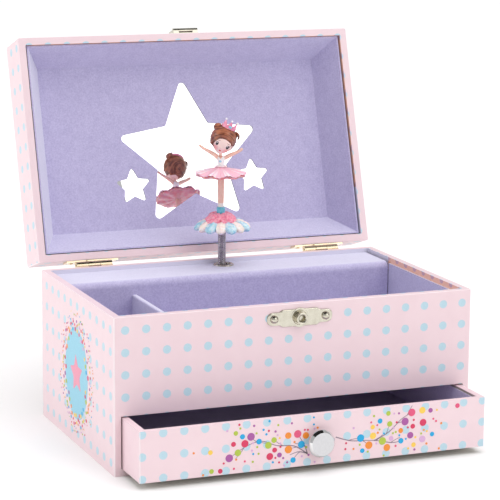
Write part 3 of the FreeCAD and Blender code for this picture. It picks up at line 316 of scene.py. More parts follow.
# deep and light pile colours, and the pale colour used as sheen tint and as painted sheen at grazing angles
LILAC = (rgb(175, 168, 205), rgb(203, 197, 227), rgb(236, 236, 246))
BOX_PAPER = dotted_paper("dotted_paper")
DRAWER_PAPER = dotted_paper("dotted_paper_drawer", first=(80.2, 63.55))
LID_PAPER = dotted_paper("dotted_paper_lid", closed_lid=True)
PLAIN_PAPER = plain_paper()
FLOCK = flock("lilac_flock", *LILAC, 0.35)
LID_FLOCK = flock("lilac_flock_card", *LILAC, 0.35, card_edge=True)
DRAWER_FLOCK = flock("drawer_flock", rgb(196, 186, 220), rgb(214, 205, 234), rgb(222, 216, 238), 0.25)
BOARD = greyboard()
NICKEL = metal("nickel", rgb(184, 178, 160), rgb(224, 220, 206), (0.08, 0.22))
BRASS = metal("brass", rgb(228, 206, 168), rgb(248, 234, 206), (0.14, 0.3))
ZINC = metal("cast_zinc", rgb(140, 142, 146), rgb(168, 170, 174), (0.45, 0.65))
STEEL = metal("bright_steel", rgb(128, 126, 128), rgb(168, 166, 168), (0.25, 0.45))
SPRING_STEEL = metal("spring_steel", rgb(168, 162, 166), rgb(214, 208, 212), (0.16, 0.3))
MIRROR = mirror_glass()
WHITE_PLASTIC = plastic("white_plastic", rgb(226, 224, 218), rgb(240, 238, 232))
SKIN = plastic("skin_plastic", rgb(243, 196, 178), rgb(250, 209, 194))
PINK = plastic("ruffle_pink", rgb(240, 122, 154), rgb(253, 184, 200), 1.0)
SKY = plastic("puff_sky", rgb(150, 208, 230), rgb(222, 242, 248), 1.8)
CREAM = plastic("puff_cream", rgb(252, 228, 218), rgb(255, 248, 242), 1.4)
ANKLE = plastic("ankle_blue", rgb(78, 178, 206), rgb(128, 208, 226), 1.2)
PETTICOAT = plastic("petticoat_salmon", rgb(255, 144, 150), rgb(255, 180, 180), 2.0, bleed=0.8, depth=4.0)
GEM = plastic("gem_blue", rgb(130, 196, 226), rgb(172, 222, 240), 0.6, rough=0.12, coat=0.6)
CROWN = plastic("crown_pink", rgb(242, 132, 168), rgb(252, 172, 196), 0.9)
PEARL = plastic("pearl_white", rgb(244, 240, 242), rgb(255, 253, 253), 0.8)


# ---- mesh building
def linked(name, data):
    """New object in the scene."""
    made = bpy.data.objects.new(name, data)
    bpy.context.scene.collection.objects.link(made)
    return made


def mesh_object(name, shape, materials):
    """Object from (points in millimetres, faces)."""
    mesh = bpy.data.meshes.new(name)
    mesh.from_pydata([tuple(value * MM for value in point) for point in shape[0]], [], shape[1])
    for material in materials:
        mesh.materials.append(material)
    return linked(name, mesh)


def new_piece(name, shape, materials, body, slot, replaced=(), face_slots=None, smooth=True, sharp=None,
              place=None):
    """Piece of the box, riding on a body; its slot argument is not used."""
    piece = mesh_object(name, shape, materials)
    mesh = piece.data
    work = bmesh.new()
    work.from_mesh(mesh)
    bmesh.ops.recalc_face_normals(work, faces=work.faces)
    work.to_mesh(mesh)
    work.free()
    for index, polygon in enumerate(mesh.polygons):
        polygon.use_smooth = smooth
        if face_slots:
            polygon.material_index = face_slots[index]
    if sharp:
        mesh.set_sharp_from_angle(angle=radians(sharp))
    if place is not None:
        piece.matrix_world = place
    bpy.context.view_layer.update()
    if body:
        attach(piece, body)
    if replaced:
        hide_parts(*replaced)
    return piece


def stack_faces(rings, steps):
    """Quads between successive rings of steps points each, closed round."""
    faces = []
    for ring in range(rings - 1):
        base = ring * steps
        for step in range(steps):
            after = (step + 1) % steps
            faces.append((base + step, base + after, base + steps + after, base + steps + step))
    return faces


def loft(rings):
    """Points and faces of a closed skin through rings of equal length, capped by fans at both ends."""
    steps = len(rings[0])
    points = [point for ring in rings for point in ring]
    faces = stack_faces(len(rings), steps)
    for ring, flip in ((rings[0], True), (rings[-1], False)):
        centre = len(points)
        points.append(tuple(sum(point[axis] for point in ring) / steps for axis in range(3)))
        base = 0 if flip else (len(rings) - 1) * steps
        faces += [(centre, base + step, base + (step + 1) % steps) for step in range(steps)]
    return points, faces


def hollow(rings):
    """Points and faces of a closed skin through rings of equal length, the last joined to the first."""
    steps = len(rings[0])
    last = (len(rings) - 1) * steps
    faces = stack_faces(len(rings), steps)
    faces += [(last + step, last + (step + 1) % steps, (step + 1) % steps, step) for step in range(steps)]
    return [point for ring in rings for point in ring], faces


def merge(parts):
    """Several (points, faces) lists as one, with the part number of each face."""
    points = []
    faces = []
    owners = []
    for number, (part_points, part_faces) in enumerate(parts):
        base = len(points)
        points += part_points
        faces += [tuple(base + index for index in face) for face in part_faces]
        owners += [number] * len(part_faces)
    return points, faces, owners


def smooth_profile(points, steps=4):
    """Catmull-Rom curve through points of any dimension."""
    curve = []
    padded = [points[0]] + list(points) + [points[-1]]
    for index in range(1, len(padded) - 2):
        before, start, end, after = (Vector(padded[index + shift]) for shift in (-1, 0, 1, 2))
        for step in range(steps):
            t = step / steps
            bend = 2 * start + (end - before) * t + (2 * before - 5 * start + 4 * end - after) * t * t
            curve.append(tuple(0.5 * (bend + (3 * start - before - 3 * end + after) * t ** 3)))
    curve.append(tuple(points[-1]))
    return curve


def around(steps, spot):
    """spot(angle) at equal steps round a circle."""
    return [spot(tau * step / steps) for step in range(steps)]


def circle(steps, radius, height, squash=1.0):
    """Points round a level circle or oval."""
    return around(steps, lambda angle: (radius * cos(angle), radius * squash * sin(angle), height))


def turned(profile, steps=48):
    """Closed solid of revolution about Z from (radius, height) pairs."""
    return loft([circle(steps, radius, height) for radius, height in profile])


def swept(path, radii, steps=12, squash=1.0):
    """Round tube along a path, with its own radius at each point."""
    rings = []
    path = [Vector(point) for point in path]
    for index, point in enumerate(path):
        ahead = (path[min(index + 1, len(path) - 1)] - path[max(index - 1, 0)]).normalized()
        up = ahead.cross(Vector((0, 1, 0))).normalized()
        across = up.cross(ahead).normalized() * radii[index] * squash
        up *= radii[index]
        rings.append(around(steps, lambda angle: tuple(point + up * cos(angle) + across * sin(angle))))
    return loft(rings)


def blob(centre, radii, turn=None, rings=14, steps=22, relief=None):
    """Ellipsoid with an optional turn and relief(direction) in millimetres."""
    turn = turn or Matrix.Identity(3)
    rows = []
    for ring in range(1, rings):
        polar = pi * ring / rings

        def surface(angle):
            out = Vector((sin(polar) * cos(angle), sin(polar) * sin(angle), cos(polar)))
            point = Vector(value * radius for value, radius in zip(out, radii))
            if relief:
                point += out * relief(out)
            return tuple(turn @ point + Vector(centre))

        rows.append(around(steps, surface))
    return loft(rows)


def extruded(outline, place, depth):
    """Flat plate from a 2-D outline; place(a, b, d) gives the point at depth d."""
    count = len(outline)
    points = [place(a, b, 0.0) for a, b in outline] + [place(a, b, depth) for a, b in outline]
    faces = [tuple(range(count)), tuple(range(2 * count - 1, count - 1, -1))]
    for index in range(count):
        after = (index + 1) % count
        faces.append((index, after, count + after, count + index))
    return points, faces


# ---- camera, light and floor
def set_camera():
    """Camera at the photograph's viewing angle."""
    camera = linked("camera", bpy.data.cameras.new("camera"))
    camera.data.lens = 156.28
    camera.data.sensor_width = 36.0
    camera.data.clip_start = 0.05
    forward = Vector((0.36618, 0.91033, -0.19290)).normalized()
    level = forward.cross(Vector((0, 0, 1))).normalized()
    above = level.cross(forward)
    roll = radians(0.43)
    right = level * cos(roll) + above * sin(roll)
    up = above * cos(roll) - level * sin(roll)
    camera.matrix_world = Matrix.Translation((-0.3656, -0.9054, 0.2757)) @ Matrix(
        (right, up, -forward)).transposed().to_4x4()
    bpy.context.scene.camera = camera


def area_light(name, position, target, size, power):
    """Soft square lamp aimed at a point."""
    light = bpy.data.lights.new(name, "AREA")
    light.shape = "SQUARE"
    light.size = size
    light.energy = power
    lamp = linked(name, light)
    aim = Vector(target) - Vector(position)
    lamp.matrix_world = Matrix.Translation(position) @ aim.to_track_quat("-Z", "Y").to_matrix().to_4x4()


def stage_piece(name, corners, material):
    """Flat four-cornered piece of the studio, in millimetres."""
    piece = mesh_object(name, (corners, [(0, 1, 2, 3)]), [material])
    return piece


def set_stage():
    """Pale floor and surround, light from above and the front right, and a dark card that metal mirrors."""
    world = bpy.data.worlds.new("world")
    world.use_nodes = True
    world.node_tree.nodes["Background"].inputs["Color"].default_value = (1.0, 1.0, 1.0, 1.0)
    world.node_tree.nodes["Background"].inputs["Strength"].default_value = 0.49
    bpy.context.scene.world = world
    bpy.context.scene.view_settings.view_transform = "Standard"
    area_light("key", (0.7, -1.2, 0.62), (0.0, 0.06, 0.12), 1.0, 4.0)
    area_light("fill", (-1.15, 0.55, 0.35), (-0.08, 0.0, 0.04), 0.8, 5.4)
    sun = bpy.data.lights.new("overhead", "SUN")
    sun.energy = 1.98
    sun.angle = radians(80)
    overhead = linked("overhead", sun)
    overhead.matrix_world = Vector((-0.15, 0.15, -1.0)).to_track_quat("-Z", "Y").to_matrix().to_4x4()
    overhead.visible_glossy = False
    paint = Paint("floor_white", Roughness=0.9)
    paint.colour(paint.mix(paint.noise(400.0), rgb(250, 250, 250), rgb(252, 252, 252)))
    far = 12000.0
    stage_piece("floor", [(-far, -far, 0), (far, -far, 0), (far, far, 0), (-far, far, 0)], paint.material)
    black = Paint("card_black", Roughness=1.0)
    black.colour(black.mix(black.noise(300.0), rgb(8, 8, 8), rgb(14, 14, 14)))
    corners = [(-1000, -1000, 1100), (520, -1000, 1100), (520, 300, 1100), (-1000, 300, 1100)]
    card = stage_piece("card", corners, black.material)
    card.visible_camera = False
    card.visible_diffuse = False
    card.visible_shadow = False


# ---- finishes on the CAD parts
def finish_cad():
    """Give every carried-over CAD node its procedural material."""
    finishes = {
        "greyboard": BOARD, "dotted_paper": BOX_PAPER, "plain_paper": PLAIN_PAPER, "lilac_flock": FLOCK,
        "dark_flock": DRAWER_FLOCK, "mirror_glass": MIRROR, "nickel": NICKEL, "brass": BRASS,
        "cast_zinc": ZINC, "bright_steel": STEEL, "white_plastic": WHITE_PLASTIC, "ruffle_plastic": PINK,
        "skin_plastic": SKIN, "tutu_plastic": PETTICOAT, "bodice_plastic": PEARL, "hair_plastic": HAIR,
        "crown_plastic": CROWN,
    }
    own = {"lid_paper": LID_PAPER, "drawer_front_paper": DRAWER_PAPER, "lid_lining": LID_FLOCK}
    for part in frame["record"]["subparts"]:
        node = frame["nodes"][part["node"]]
        material = own.get(part["node"], finishes[part["material_slot"]])
        if not node.material_slots:
            node.data.materials.append(material)
        for material_slot in node.material_slots:
            material_slot.material = material


# ---- prints
def oval_outline(centre, half, steps):
    """Upright oval outline."""
    return around(steps, lambda angle: (centre[0] + half[0] * cos(angle), centre[1] + half[1] * sin(angle)))


def rounded_corner(start, corner, end, steps=5):
    """Points of a curve from start to end that bends at a corner."""
    curve = []
    for step in range(steps + 1):
        t = step / steps
        curve.append(tuple(start * (1 - t) ** 2 + corner * 2 * t * (1 - t) + end * t ** 2))
    return curve


def star_outline(centre, tip, notch, lean):
    """Five-pointed star with rounded tips."""
    soften = 0.16
    corners = []
    for index in range(10):
        radius = tip if index % 2 == 0 else notch
        angle = pi / 2 + pi * index / 5 + lean
        corners.append(Vector((centre[0] + radius * cos(angle), centre[1] + radius * sin(angle))))
    outline = []
    for index, corner in enumerate(corners):
        after = corners[(index + 1) % 10]
        outline += rounded_corner(corner.lerp(corners[index - 1], soften), corner, corner.lerp(after, soften))
    return outline


def stroke_outline(path, start_width, end_width):
    """Tapered outline round a 2-D path."""
    left = []
    right = []
    for index, point in enumerate(path):
        ahead = Vector(path[min(index + 1, len(path) - 1)]) - Vector(path[max(index - 1, 0)])
        across = Vector((-ahead.y, ahead.x)).normalized()
        width = start_width + (end_width - start_width) * index / (len(path) - 1)
        left.append(tuple(Vector(point) + across * width / 2))
        right.append(tuple(Vector(point) - across * width / 2))
    return left + right[::-1]


def print_piece(name, shapes, place, body):
    """One printed piece from (ink name, outline, thickness) shapes."""
    names = sorted({shape[0] for shape in shapes})
    parts = [extruded(outline, place, thickness) for _, outline, thickness in shapes]
    points, faces, owners = merge(parts)
    inks = [INK_MATERIALS[ink_name] for ink_name in names]
    slots = [names.index(shapes[owner][0]) for owner in owners]
    new_piece(name, (points, faces), inks, body, "dotted_paper", face_slots=slots, smooth=False)


INK_MATERIALS = {name: ink(name, colour) for name, colour in INKS.items()}


def medallion(name, side):
    """Blue oval with a pink star and a scatter of confetti, on one end of the box."""
    draw = random.Random(11 if side < 0 else 12)
    centre = (0.4 * side, 32.9)
    half = (16.5, 21.2)
    shapes = [("sky", oval_outline(centre, half, 72), INK)]
    shapes.append(("rose", star_outline((centre[0], centre[1] - 0.2), 9.3, 4.6, -0.1), 1.6 * INK))
    taken = []
    confetti = ((34, (0.85, 1.15), -2.6, 1.2), (60, (0.5, 0.85), 1.0, 4.6), (120, (0.24, 0.5), 2.4, 10.0))
    for count, sizes, near, far in confetti:
        for index in range(count):
            for _ in range(8):
                angle = tau * (index + draw.uniform(-0.5, 0.5)) / count
                out = near + (far - near) * draw.random() ** 1.3
                size = draw.uniform(*sizes)
                spot = Vector((centre[0] + (half[0] + out) * cos(angle),
                               centre[1] + (half[1] + 0.75 * out) * sin(angle)))
                if all((spot - other).length > size + other_size + 0.15 for other, other_size in taken):
                    taken.append((spot, size))
                    shapes.append((draw.choice(DOT_INKS), oval_outline(spot, (size, size), 14), 2.2 * INK))
                    break

    print_piece(name, shapes, lambda a, b, depth: (side * (85.0 + depth), a, b), "root")


def drawer_print():
    """Twigs and confetti on the drawer front, either side of the knob."""
    draw = random.Random(7)
    stems = (
        ((-4.6, 8.4), (-11.0, 12.6), (-19.0, 13.6), (-26.0, 16.2), (-33.0, 14.8), (-41.0, 10.2)),
        ((-4.8, 8.6), (-6.2, 12.6), (-9.4, 17.8)),
        ((-5.0, 8.8), (-9.0, 9.8), (-13.0, 8.8)),
        ((8.6, 14.6), (16.0, 12.2), (24.0, 11.6), (31.0, 10.6)),
        ((27.0, 11.2), (34.0, 14.4), (40.0, 19.6), (45.0, 22.2)),
        ((30.0, 10.6), (36.0, 9.4), (40.0, 9.8)),
    )
    shapes = []
    tips = []
    for stem in stems:
        path = smooth_profile(stem, 6)
        shapes.append(("twig", stroke_outline(path, 0.5, 0.22), INK))
        tips.append(path[-1])
        for index in range(5, len(path) - 3, 5):
            along = Vector(path[index + 1]) - Vector(path[index - 1])
            heading = atan2(along.y, along.x) + (1 if index % 2 else -1) * draw.uniform(0.45, 0.85)
            length = draw.uniform(3.6, 6.2)
            bend = draw.uniform(-0.3, 0.3)
            twig = []
            for t in (0, 0.25, 0.5, 0.75, 1):
                reach = length * t
                angle = heading + bend * t
                twig.append((path[index][0] + reach * cos(angle), path[index][1] + reach * sin(angle)))
            shapes.append(("twig", stroke_outline(twig, 0.32, 0.18), INK))
            tips.append(twig[-1])
    taken = []

    def clear(spot, radius):
        """Whether a dot stays on the drawer front and off the knob and the other dots."""
        def apart(other):
            return (Vector(spot) - Vector(other)).length

        inside = 3.4 + radius < spot[1] < 25.3 - radius
        off_knob = apart(KNOB) > 3.4 + radius
        return inside and off_knob and all(apart(other) > radius + size + 0.45 for other, size in taken)

    def add(spot, radius, ink_name):
        taken.append((spot, radius))
        shapes.append((ink_name, oval_outline(spot, (radius, radius), 22), 2.0 * INK))

    for tip in tips:
        radius = draw.choice((1.72, 1.72, 1.25))
        if clear(tip, radius):
            add(tip, radius, draw.choice(DOT_INKS[:6]))
    for size, count, near in ((1.58, 13, 2.8), (1.1, 20, 4.2), (0.5, 84, 5.8)):
        for _ in range(count):
            for _ in range(12):
                beside = draw.choice(tips)
                spot = (beside[0] * 1.08 + draw.gauss(0.0, near * 1.4), beside[1] + draw.gauss(0.0, near))
                if clear(spot, size):
                    add(spot, size * draw.uniform(0.92, 1.05), draw.choice(DOT_INKS))
                    break

    print_piece("drawer_print", shapes, lambda a, b, depth: (a, DRAWER_FACE - depth, b), "drawer")


# ---- metal fittings
def toward_front(shape, centre):
    """Turn a shape drawn with Z outward so that it faces the front (-Y) at centre."""
    return [(centre[0] + x, centre[1] - z, centre[2] + y) for x, y, z in shape[0]], shape[1]


def rounded_outline(corners, radii):
    """Outline with each corner cut back by its own radius and rounded."""
    outline = []
    for index, corner in enumerate(corners):
        corner = Vector(corner)
        before = Vector(corners[index - 1]) - corner
        after = Vector(corners[(index + 1) % len(corners)]) - corner
        reach = min(radii[index], before.length * 0.48, after.length * 0.48)
        end = corner + after.normalized() * reach
        outline += rounded_corner(corner + before.normalized() * reach, corner, end)
    return outline


def stamped(outline, thickness, bevel):
    """Stamped plate drawn in XY with its face up and a bevelled rim."""
    middle = Vector((sum(p[0] for p in outline) / len(outline), sum(p[1] for p in outline) / len(outline)))
    rings = []
    for inset, height in ((0.0, 0.0), (0.0, thickness - bevel), (bevel * 0.3, thickness - bevel * 0.3),
                          (bevel, thickness)):
        ring = []
        for point in outline:
            spot = Vector(point) + (middle - Vector(point)).normalized() * inset
            ring.append((spot.x, spot.y, height))
        rings.append(ring)
    for share in (0.15, 0.3, 0.45, 0.6, 0.75, 0.9):
        rings.append([(*Vector((x, y)).lerp(middle, share), thickness) for x, y, _ in rings[3]])
    return loft(rings)


def latch():
    """Stamped latch plate, riveted hollow stud and two domed nails."""
    corners = [(-15.5, -2.9), (-9.6, -2.9), (-8.4, -3.85), (8.4, -3.85), (9.6, -2.9), (15.5, -2.9),
               (15.5, 2.9), (9.6, 2.9), (8.4, 3.85), (-8.4, 3.85), (-9.6, 2.9), (-15.5, 2.9)]
    radii = [2.8, 0.8, 0.8, 0.8, 0.8, 2.8, 2.8, 0.8, 0.8, 0.8, 0.8, 2.8]
    outline = rounded_outline(corners, radii)
    plate = stamped(outline, 0.55, 0.25)
    collar = turned([(4.4, 0.3), (4.3, 0.58), (3.9, 0.68), (3.4, 0.66), (3.1, 0.6), (2.9, 0.3)], 40)
    stud = turned([(2.8, 0.3), (2.6, 0.9), (2.35, 1.3), (2.35, 2.4), (2.5, 2.9), (2.75, 3.2), (2.7, 3.45),
                   (2.4, 3.6), (1.9, 3.5), (1.5, 3.2), (1.35, 2.2), (1.2, 0.9), (0.4, 0.8)], 40)
    new_piece("latch_plate_stamped", toward_front(merge([plate, collar, stud]), LATCH), [NICKEL], "root",
              "nickel", ("latch_plate",), sharp=50)
    nails = []
    for side in (-1, 1):
        dome = turned([(1.9, 0.45), (1.86, 0.9), (1.68, 1.35), (1.35, 1.75), (0.9, 2.05), (0.4, 2.18)], 28)
        nails.append(toward_front(dome, (LATCH[0] + side * NAIL_X, *LATCH[1:])))
    new_piece("latch_nail_heads", merge(nails), [NICKEL], "root", "nickel", ("latch_nails",))


def knob():
    """Turned knob with a waisted foot, a polished bevel and a frosted face."""
    polished = Paint("knob_polished", Metallic=1.0, Roughness=0.07)
    polished.colour(polished.mix(polished.noise(3.0), rgb(222, 222, 222), rgb(240, 240, 240)))
    frosted = Paint("knob_frosted", Metallic=0.35, Roughness=0.55)
    grain = frosted.noise(0.9, 4.0)
    frosted.colour(frosted.mix(grain, rgb(206, 206, 208), rgb(222, 222, 224)))
    frosted.bump(grain, 0.05, 0.5)
    profile = smooth_profile([(3.0, 0.0), (3.05, 0.3), (2.7, 0.9), (2.62, 1.3), (2.9, 1.9), (4.1, 2.5),
                              (5.6, 3.0), (6.15, 3.5), (6.2, 3.9)], 3)
    profile += [(6.1, 4.2), (5.6, 4.9), (5.25, 5.42), (5.15, 5.5), (3.0, 5.6), (0.5, 5.6)]
    points, faces = turned(profile, 64)
    slots = [1 if all(points[index][2] > 5.45 for index in face) else 0 for face in faces]
    shape = toward_front((points, faces), (KNOB[0], DRAWER_FACE, KNOB[1]))
    new_piece("drawer_knob_turned", shape, [polished.material, frosted.material], "drawer", "nickel",
              ("drawer_knob",), slots, sharp=30)


def eyelet():
    """Rolled nickel eyelet round the spring."""
    profile = [(3.8, -3.0), (3.8, -0.02), (4.9, 0.0), (4.95, 0.25), (4.7, 0.6), (4.2, 0.8), (3.7, 0.78),
               (3.4, 0.5), (3.3, 0.1), (3.3, -3.0)]
    points, faces = hollow([circle(56, radius, height) for radius, height in profile])
    points = [(AXIS_X + 0.9 + x, AXIS_Y + y, 68.1 + z) for x, y, z in points]
    new_piece("spring_eyelet_rolled", (points, faces), [NICKEL], "root", "nickel", ("spring_eyelet",),
              sharp=60)


def stem_spring():
    """Close-wound steel spring standing on the dancer's axis."""
    wire = 0.29
    coil = 1.66
    low, high = 61.0, 86.0
    turns = int((high - low) / (2 * wire + 0.02))
    per_turn = 20
    rings = []
    for index in range(turns * per_turn + 1):
        angle = tau * index / per_turn
        height = low + wire + (high - low - 2 * wire) * index / (turns * per_turn)
        out = Vector((cos(angle), sin(angle), 0))
        centre = Vector((AXIS_X, AXIS_Y, height)) + out * coil
        up = Vector((0, 0, wire))
        rings.append(around(8, lambda turn: tuple(centre + out * wire * cos(turn) + up * sin(turn))))
    piece = new_piece("stem_spring_coiled", loft(rings), [SPRING_STEEL], None, "bright_steel")
    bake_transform(piece)
    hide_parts("stem_spring")


# ---- the dancer
# Her pieces are drawn with X to her left, -Y forward and Z up from the floor, on her own axis.
STAND_PLACE = Matrix.Translation((AXIS_X * MM, AXIS_Y * MM, 0.0)) @ Matrix.Rotation(DANCER_TURN, 4, "Z")
DANCER_PLACE = STAND_PLACE @ Matrix.Translation((-0.6 * MM, 0.0, 0.0))
HEAD_PLACE = (DANCER_PLACE @ Matrix.Translation((1.0 * MM, 0.0, 128.9 * MM))
              @ Matrix.Rotation(radians(24.0), 4, "Y"))
FACE_CENTRE = Vector((0.5, -0.7, -1.45))
FACE_RADII = (5.15, 5.1, 5.65)
HAIR_CENTRE = Vector((0.0, 0.35, 0.15))
HAIR_RADII = (6.2, 6.1, 6.45)
PART = Vector((0.6, 0.0, -3.2))          # strands run round this line


def dancer_piece(name, shape, materials, slot, replaced=(), slots=None, place=DANCER_PLACE, **shading):
    """One piece of the figure, riding on the dancer."""
    new_piece(name, shape, materials, "dancer", slot, replaced, slots, place=place, **shading)


def ease(value, low, high):
    """Smooth step from 0 to 1."""
    share = max(0.0, min(1.0, (value - low) / (high - low)))
    return share * share * (3 - 2 * share)


def wavy(steps, radius, height):
    """Ring whose radius(angle) and height(angle) change round it."""
    def spot(angle):
        reach = radius(angle)
        return (reach * cos(angle), reach * sin(angle), height(angle))

    return around(steps, spot)


def stand():
    """Ring of draped puffs under four folded roses, with a closed underside."""
    def drape(direction):
        return cos(direction.y * 9.0) * 0.16 * max(0.0, direction.z + 0.6)

    puffs = 14
    parts = []
    for index in range(puffs):
        angle = tau * (index + 0.35) / puffs
        wide, out = (2.95, 9.9) if index % 2 else (2.65, 9.6)
        turn = Matrix.Rotation(angle, 3, "Z") @ Matrix.Rotation(radians(27), 3, "Y")
        centre = (0.3 + out * cos(angle), out * sin(angle), 87.55)
        parts.append(blob(centre, (4.1, wide, 1.95), turn, 12, 26, drape))
    parts.append(turned([(2.05, 85.15), (7.5, 85.35), (9.4, 86.0), (9.4, 87.6), (7.4, 89.6), (2.05, 90.4)]))
    points, faces, owners = merge(parts)
    slots = [0 if owner % 2 else 1 for owner in owners]
    dancer_piece("stand_puffs", (points, faces), [SKY, CREAM], "ruffle_plastic", ("dancer_stand",), slots,
                 place=STAND_PLACE)
    roses = []
    for index in range(4):
        angle = radians(45 + 90 * index)

        def petals(direction):
            reach = acos(max(-1.0, min(1.0, direction.z)))
            spiral = sin(reach * 7.5 - atan2(direction.y, direction.x) + index)
            return 0.34 * spiral * ease(reach, 0.0, 0.35) * ease(2.2 - reach, 0.0, 0.5)

        lean = Matrix.Rotation(angle, 3, "Z") @ Matrix.Rotation(radians(38), 3, "Y")
        centre = (4.5 * cos(angle), 4.5 * sin(angle), 90.0)
        roses.append(blob(centre, (4.4, 4.5, 2.9), lean, 30, 44, petals))
    frill = []
    for radius, height in ((2.0, 90.0), (7.0, 89.8), (8.2, 88.8), (8.4, 88.3), (7.9, 88.1), (2.0, 88.3)):
        wave = 0.28 * ease(radius, 4.0, 8.0)
        frill.append(wavy(168, lambda angle: radius + sin(14 * angle) * wave,
                          lambda angle: height - sin(14 * angle) * wave * 0.5))
    dancer_piece("stand_roses", merge(roses + [loft(frill)]), [PINK], "ruffle_plastic")


def legs():
    """Two legs pressed together, pale ribbon bands and the blue slippers' block."""
    rings = []
    for height, scale in ((95.8, 0.86), (96.4, 0.84), (98.2, 0.84), (100.0, 0.9), (103.0, 0.98),
                          (106.0, 1.04), (109.0, 1.06), (111.6, 1.12), (113.0, 1.14)):
        reach = 0.95 * scale

        def outline(angle):
            across = cos(angle)
            deep = reach * 1.05 * sin(angle) * (0.82 + 0.18 * abs(across) ** 0.7)
            return (reach * across + 0.6 * copysign(abs(across) ** 0.4, across), deep, height)

        rings.append(around(40, outline))
    points, faces = loft(rings)
    slots = [1 if all(points[index][2] < 98.25 for index in face) else 0 for face in faces]
    band = plastic("ribbon_pale", rgb(250, 226, 220), rgb(255, 242, 238))
    dancer_piece("legs_pressed", (points, faces), [SKIN, band], "skin_plastic", ("dancer_legs",), slots)
    outline = rounded_outline([(-1.95, -1.7), (1.95, -1.7), (1.95, 1.7), (-1.95, 1.7)], [0.9] * 4)
    rings = []
    for height, scale in ((92.3, 0.94), (92.7, 1.0), (94.0, 0.98), (95.4, 1.0), (96.1, 0.98), (96.35, 0.9)):
        rings.append([(x * scale, y * scale, height) for x, y in outline])
    dancer_piece("slippers_block", loft(rings), [ANKLE], "ruffle_plastic", ("dancer_slippers",), sharp=60)


def tutu_paint():
    """Pink skirt with white streaks running out to the rim."""
    paint = moulded("tutu_streaked", 0.34, 0.2)
    x, y, z = paint.split(paint.place)
    angle = paint.math("ARCTAN2", y, x)
    spread = paint.math("MULTIPLY_ADD", paint.noise(3.0, 2.0), 0.5, paint.times(angle, 9.0))
    broad = paint.math("SINE", spread)
    fine = paint.math("SINE", paint.math("MULTIPLY_ADD", angle, 31.0, paint.times(broad, 1.2)))
    streak = paint.math("MULTIPLY_ADD", fine, 0.5, broad)
    out = paint.ramp(paint.length(x, y), 2.5 * MM, 9.0 * MM)
    white = paint.times(paint.ramp(streak, 0.1, 1.1), out)
    pink = paint.mix(paint.noise(2.2, 3.0), rgb(250, 182, 204), rgb(254, 208, 220))
    paint.colour(paint.mix(white, pink, rgb(255, 240, 244)))
    paint.bump(fine, 0.06, 0.5)
    return paint.material


def tutu():
    """Wavy pleated skirt, with a scalloped salmon petticoat under it."""
    steps = 288
    rings = []
    for radius in (1.5, 2.0, 2.8, 4.0, 5.5, 7.0, 8.5, 10.0, 11.2, 12.0):
        share = max(0.0, (radius - 1.5) / 10.6)
        sway = 0.25 * ease(radius, 6, 12)

        def pleated(angle):
            wave = 0.55 * share ** 1.6 * sin(9 * angle + 0.5)
            return 115.8 - 3.1 * share ** 0.9 + wave + 0.13 * share * sin(36 * angle)

        rings.append(wavy(steps, lambda angle: radius + sway * sin(9 * angle + 0.5), pleated))
    rim = rings[-1]
    for scale, drop in ((1.008, 0.16), (0.995, 0.34), (0.8, -0.1)):
        rings.append([(x * scale, y * scale, z - drop) for x, y, z in rim])
    rings.append([(x * 0.2, y * 0.2, 113.2) for x, y, z in rim])
    dancer_piece("tutu_skirt", loft(rings), [tutu_paint()], "tutu_plastic", ("dancer_tutu",))
    rings = []
    for radius, height, bulge in ((1.3, 113.6, 0.0), (8.0, 112.8, 0.2), (11.0, 112.3, 0.6),
                                  (11.6, 112.0, 0.9), (11.7, 111.7, 1.0), (11.2, 111.3, 0.9),
                                  (9.6, 111.0, 0.6), (6.0, 110.8, 0.35), (1.3, 110.9, 0.0)):
        rings.append(wavy(steps, lambda angle: radius + 0.55 * bulge * (abs(sin(7.5 * angle)) - 0.6),
                          lambda angle: height + 0.35 * bulge * sin(9 * angle + 0.5)))
    dancer_piece("tutu_petticoat", loft(rings), [PETTICOAT], "tutu_plastic")


def bodice_paint():
    """White bodice whose straps leave a bare V at the neck."""
    paint = moulded("bodice_neckline")
    x, y, z = paint.split(paint.place)
    aside = paint.math("ABSOLUTE", paint.add(x, 0.2 * MM))
    above = paint.minus(z, paint.math("MULTIPLY_ADD", aside, 1.5, 119.5 * MM))
    cloth = paint.mix(paint.noise(1.2, 3.0), rgb(238, 232, 234), rgb(252, 250, 250))
    paint.colour(paint.mix(paint.ramp(above, -0.1 * MM, 0.1 * MM), cloth, rgb(238, 182, 162)))
    paint.bump(paint.noise(0.5, 3.0), 0.02, 0.4)
    return paint.material


